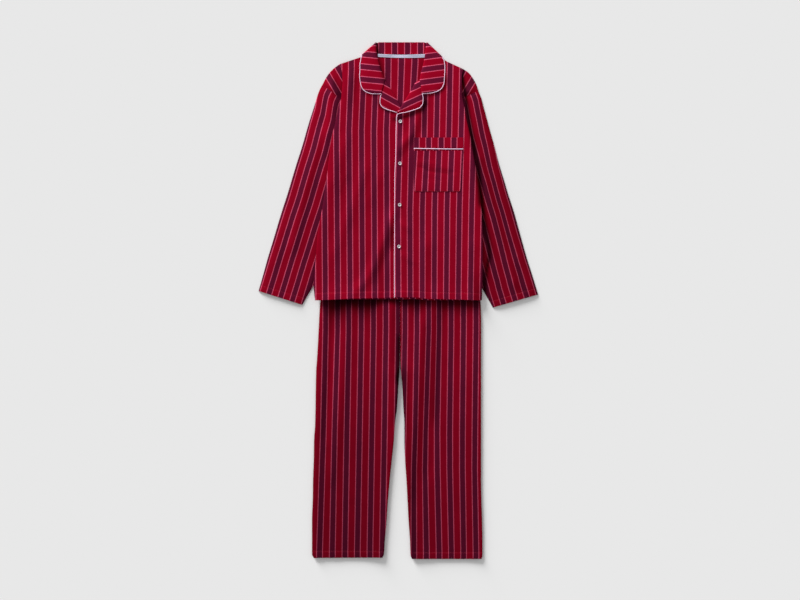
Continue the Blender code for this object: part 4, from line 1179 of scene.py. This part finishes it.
def lay_rolled(rows, width, air, reach, rounds):
    """Points of a collar's side or a lapel, laid on the bed, whose first side rolls down."""
    sides = smooth(rows, spread(length_of(rows), ROLL_STEP))
    turns = np.linspace(math.pi / 2, 0, ROLL_STEPS)
    span = norm(sides[:, 1] - sides[:, 0], axis=1)[:, None]
    turned = np.minimum(ROLL_RADIUS, ROLL_MOST * span)
    inner = spread(width, ROLL_STEP)
    inner = inner[inner > ROLL_SHARE]
    flat_share = turned + (span - turned) * (inner - inner[0]) / (inner[-1] - inner[0])
    along = np.concatenate([turned * (1 - np.sin(turns[:-1])), flat_share], axis=1)
    falls = np.concatenate([1 - np.cos(turns[:-1]), np.zeros(len(inner))]) * turned
    way = (sides[:, 1] - sides[:, 0]) / span
    grid = sides[:, :1] + along[..., None] * way[:, None]
    height = settle(bed.clear(grid), rounds) + air * puff(grid, reach)
    bed.add(np.dstack([grid, height]))
    return np.dstack([grid, height - falls])


def build_lapels(front_cord):
    for side, rows, slant, sign in (("right", LAPEL_RIGHT, SLANT_LAPEL_RIGHT, -1),
                                    ("left", LAPEL_LEFT, SLANT_LAPEL_LEFT, 1)):
        cord = piping_path(rows[:, 1], sign * PIPING_SIDE, start=1.0)
        points = lay_rolled(rows, LAPEL_WIDTH, LAPEL_AIR, LAPEL_REACH, ROUNDS)
        panel("lapel_" + side, points, stripes_on_slant(points[..., :2], slant),
              ["front_" + side])
        if side == "right":
            piping("lapel_piping_right", cord)
        else:
            piping("front_piping_left", np.vstack([cord, front_cord]),
                   [PIPING_RADIUS] * len(cord) + [FRONT_PIPING_RADIUS] * len(front_cord))


def fold_inset(row, distance=COLLAR_TURN):
    """The collar's shoulder fold line moved in towards the neck's middle."""
    way = (row[1] - row[0]) / norm(row[1] - row[0])
    inward = np.array([-way[1], way[0]])
    return row + distance * (-inward if inward[1] > 0 else inward)


def lay_collar_behind():
    """Puts the collar's folded-down part on the bed before the back panel comes over it."""
    rows = np.array([fold_inset(COLLAR_RIGHT[-1]), *COLLAR_BACK, fold_inset(COLLAR_LEFT[-1])])
    grid = panel_grid(rows)
    bed.add(np.dstack([grid, np.full(grid.shape[:2], BEHIND_LEVEL)]))
    edge = grid[:, -1:] - (0, PIPING_SIDE)
    bed.add(np.dstack([np.concatenate([edge, edge - (0, CELL)], axis=1),
                       np.full((len(grid), 2), REST + 2 * PIPING_RADIUS)]), 0.0)
    return rows


def turned_down(start, outward, low):
    """Points that follow a shoulder fold's round from the start down to a low level."""
    turns = []
    for angle in np.linspace(0, math.pi, SHOULDER_STEPS + 1)[1:-1]:
        plan = start[..., :2] + outward * (COLLAR_TURN - CLOTH / 2) * math.sin(angle)
        level = low + (start[..., 2:] - low) / 2 * (1 + math.cos(angle))
        turns.append(np.concatenate([plan, level], axis=-1))
    return np.array(turns)


def build_collar(behind):
    """The collar and its piping: the right front, over the shoulder, behind, and back."""
    parts, stripes, cords = [], [], []
    low_cord = PIPING_RADIUS + REST
    for rows, slant, sign in ((COLLAR_RIGHT, SLANT_COLLAR_RIGHT, 1),
                              (COLLAR_LEFT, SLANT_COLLAR_LEFT, -1)):
        front = np.array([*rows[:-1], fold_inset(rows[-1])])
        outward = (rows[-1, 0] - front[-1, 0]) / COLLAR_TURN
        cord = piping_path([rows[0, 0], *front[:, 1]], sign * PIPING_SIDE, start=1.0)
        points = lay_rolled(front, COLLAR_WIDTH, COLLAR_AIR, COLLAR_REACH, COLLAR_ROUNDS)
        stripe = stripes_on_slant(points[..., :2], slant)
        steps = np.arange(1, SHOULDER_STEPS)[:, None, None]
        parts.append(np.concatenate([points, turned_down(points[-1], outward, BEHIND_LEVEL)]))
        stripes.append(np.concatenate([stripe, stripe[-1] + SHOULDER_STRIPE * steps]))
        cords.append(np.vstack([cord, turned_down(cord[-1], outward, low_cord)]))
    shares = np.linspace(0, 1, parts[0].shape[1])
    back = crossed(between_ends(behind), shares)
    back = np.dstack([back, np.full(back.shape[:2], BEHIND_LEVEL)])
    points = np.concatenate([parts[0], back, parts[1][::-1]])
    stripe = np.concatenate([stripes[0], back[..., :2], stripes[1][::-1]])
    # The collar takes painted light, with painted shade beside its roll
    panel("collar", points, stripe, ["lapel_left", "lapel_right", "front_left", "front_right"],
          COLLAR_PAINTED_LIGHT * painted_light_share(points, COLLAR_PAINTED_SHADE), COLLAR_CUT)
    under = offset_path(between_ends(behind[:, 1]), -PIPING_SIDE)
    under = np.column_stack([under, np.full(len(under), low_cord)])
    piping("collar_piping", np.vstack([cords[0], under, cords[1][::-1]]))


# ---- buttons

# A button's outline, from its upper middle round to its lower one: shares of its radius, heights
BUTTON_OUTLINE = ((0, 1.5), (0.26, 1.5), (0.52, 1.62), (0.63, 2), (0.73, 2.45), (0.82, 2.6),
                  (0.92, 2.5), (0.98, 2.1), (1, 1.5), (0.98, 0.9), (0.87, 0.35), (0.71, 0.1),
                  (0, 0))
BUTTON_SIDES, HOLE_SIDES, THREAD_SIDES, THREAD_STEPS = 40, 14, 8, 14
BUTTON_FOOT = 4  # from its middle to where it may rest
# A thread's way from hole to hole: shares of their reach, heights
THREAD_ARM = ((-1, 0.2), (-1, 1.75), (-0.5, 2.0), (0.5, 2.0), (1, 1.75), (1, 0.2))


def turned_disc():
    """A button without holes, turned from its outline."""
    shape = bmesh.new()
    angles = [2 * math.pi * k / BUTTON_SIDES for k in range(BUTTON_SIDES)]
    rings = []
    for share, height in BUTTON_OUTLINE:
        radius = share * BUTTON_RADIUS * MM
        rings.append([shape.verts.new((radius * math.cos(a), radius * math.sin(a), height * MM))
                      for a in (angles if share else angles[:1])])
    for lower, upper in zip(rings, rings[1:]):
        for k in range(BUTTON_SIDES):
            corners = [ring[(k + ahead) % len(ring)] for ring, ahead in
                       ((lower, 0), (upper, 0), (upper, 1), (lower, 1))]
            shape.faces.new(list(dict.fromkeys(corners)))
    return shape


def button_mesh():
    """A four-hole button with a raised rim and a dished middle."""
    drill = bmesh.new()
    for x, y in ((1, 1), (-1, 1), (-1, -1), (1, -1)):
        hole = bmesh.ops.create_cone(drill, cap_ends=True, segments=HOLE_SIDES, depth=8 * MM,
                                     radius1=HOLE_RADIUS * MM, radius2=HOLE_RADIUS * MM)
        bmesh.ops.translate(drill, verts=hole["verts"],
                            vec=(x * HOLE_REACH * MM, y * HOLE_REACH * MM, MM))
    disc, holes = (link(name, write_out(shape, bpy.data.meshes.new(name)))
                   for name, shape in (("button_blank", turned_disc()), ("button_drill", drill)))
    modify(disc, "holes", "BOOLEAN", object=holes, operation="DIFFERENCE")
    mesh = evaluated_mesh(disc)
    for spare in (disc, holes):
        bpy.data.objects.remove(spare, do_unlink=True)
    mesh.set_sharp_from_angle(angle=math.radians(40))
    return mesh


def build_buttons():
    blank = button_mesh()
    for number, (x, y) in enumerate(BUTTON_PLACES, start=1):
        around = np.array([(0, 0), (1, 0), (-1, 0), (0, 1), (0, -1)]) * BUTTON_FOOT + (x, y)
        level = bed.level(around.astype(float)).max() + REST
        turn = 0.5 * number
        mesh = blank.copy()
        mesh.transform(Matrix.Translation(Vector(in_frame([x, y, level])))
                       @ Matrix.Rotation(turn, 4, "Z"))
        ready(link(f"button_{number}", mesh, pearl_finish), "button", f"button_{number}")
        for side, half in ((-1, "lower"), (1, "upper")):
            arm = np.array([(share * HOLE_REACH, side * HOLE_REACH, height)
                            for share, height in THREAD_ARM])
            arm[:, :2] = arm[:, :2] @ np.array([[math.cos(turn), math.sin(turn)],
                                                [-math.sin(turn), math.cos(turn)]])
            arm = smooth(arm, np.linspace(0, 1, THREAD_STEPS)) + (x, y, level)
            ready(tube_along(f"button_thread_{number}_{half}", arm, BUTTON_THREAD, plum_thread,
                             THREAD_SIDES), "button")
    blank.user_clear()
    bpy.data.meshes.remove(blank)


# ---- stitches

def stitch_tree(material):
    """Geometry Nodes: short rounded stitches laid end to end along each path."""
    group = bpy.data.node_groups.new("stitch_run", "GeometryNodeTree")
    add = group.interface.new_socket
    add("Geometry", in_out="INPUT", socket_type="NodeSocketGeometry")
    names = {name: add(name, in_out="INPUT", socket_type="NodeSocketFloat").identifier
             for name in ("Pitch", "Stitch length", "Thread radius")}
    add("Geometry", in_out="OUTPUT", socket_type="NodeSocketGeometry")
    tree = Tree(group)
    start = tree.node("NodeGroupInput", {})
    path = tree.node("GeometryNodeMeshToCurve", {}, start)
    spots = tree.node("GeometryNodeCurveToPoints", {"mode": "LENGTH"}, Curve=path,
                      Length=start.out("Pitch"))
    thread = tree.node("GeometryNodeMeshUVSphere", {}, Segments=6, Rings=5, Radius=1.0)
    radius = start.out("Thread radius")
    size = tree.node("ShaderNodeCombineXYZ", {}, radius, radius, start.out("Stitch length") * 0.5)
    copies = tree.node("GeometryNodeInstanceOnPoints", {}, Points=spots, Instance=thread,
                       Rotation=spots.out("Rotation"), Scale=size)
    whole = tree.node("GeometryNodeRealizeInstances", {}, copies)
    sewn = tree.node("GeometryNodeSetMaterial", {}, whole, Material=material)
    tree.give(tree.nodes.new("NodeGroupOutput"), {"Geometry": sewn})
    return group, names


def build_stitches(name, paths, material):
    """One mesh of all the stitches along the paths."""
    points, edges = [], []
    for path in paths:
        shares = np.linspace(0, 1, max(4, round(length_of(path) / STITCH_PATH_STEP)))
        start = len(points)
        points += in_frame(smooth(path, shares)).tolist()
        edges += [(index, index + 1) for index in range(start, len(points) - 1)]
    guide = link(name + "_paths", plain_mesh(name + "_paths", points, edges, []))
    group, sockets = stitch_tree(material)
    sewing = modify(guide, "sewing", "NODES", node_group=group)
    for key, value in (("Pitch", STITCH + STITCH_GAP), ("Stitch length", STITCH),
                       ("Thread radius", STITCH_THREAD)):
        sewing[sockets[key]] = value * MM
    run = evaluated_mesh(guide)
    run.name = name
    bpy.data.objects.remove(guide, do_unlink=True)
    if not run.materials:
        run.materials.append(material)
    ready(link(name, run), "flannel")


# ---- floor, light and camera

def build_stage():
    corners = [(x * FLOOR_HALF, y * FLOOR_HALF, FLOOR_LEVEL)
               for x, y in ((-1, -1), (1, -1), (1, 1), (-1, 1))]
    floor = plain_mesh("studio_floor", corners, [], [(0, 1, 2, 3)])
    paper = Paint("floor_paper").finish(Base_Color=(FLOOR,) * 3, Roughness=0.9,
                                        Specular_IOR_Level=0.0)
    link("studio_floor", floor, paper)

    world = bpy.data.worlds.new("studio_sky")
    world.use_nodes = True
    Tree(world.node_tree).give(world.node_tree.nodes["Background"],
                               {"Color": (1.0, 1.0, 1.0), "Strength": SKY_LIGHT})
    bpy.context.scene.world = world

    lamp = bpy.data.lights.new("softbox", "SUN")
    lamp.energy = KEY_LIGHT
    lamp.angle = math.radians(KEY_SOFTNESS)
    key = link("softbox", lamp)
    high, turn = math.radians(KEY_HEIGHT), math.radians(KEY_TURN)
    flat = math.cos(high)
    way = Vector((math.cos(turn) * flat, math.sin(turn) * flat, math.sin(high)))
    key.rotation_mode = "QUATERNION"
    key.rotation_quaternion = way.to_track_quat("Z", "Y")
    key.location = way * KEY_AWAY


def build_camera():
    lens = bpy.data.cameras.new("camera")
    lens.lens = 100.0
    lens.sensor_width = 36.0
    lens.clip_end = 100.0
    view = link("camera", lens)
    view.location = (PLAN_X, PLAN_Y, VIEW_WIDTH * lens.lens / lens.sensor_width + VIEW_LEVEL)
    bpy.context.scene.camera = view


bpy.context.scene.view_settings.view_transform = "Standard"
build_legs()
build_waistband()
build_sleeves()
behind_rows = lay_collar_behind()
build_back()
build_stand_and_tape()
front_edge = build_fronts()
build_pocket()
build_lapels(front_edge)
build_collar(behind_rows)
build_buttons()
build_stitches("seam_stitches", seams, red_thread)
build_stage()
build_camera()
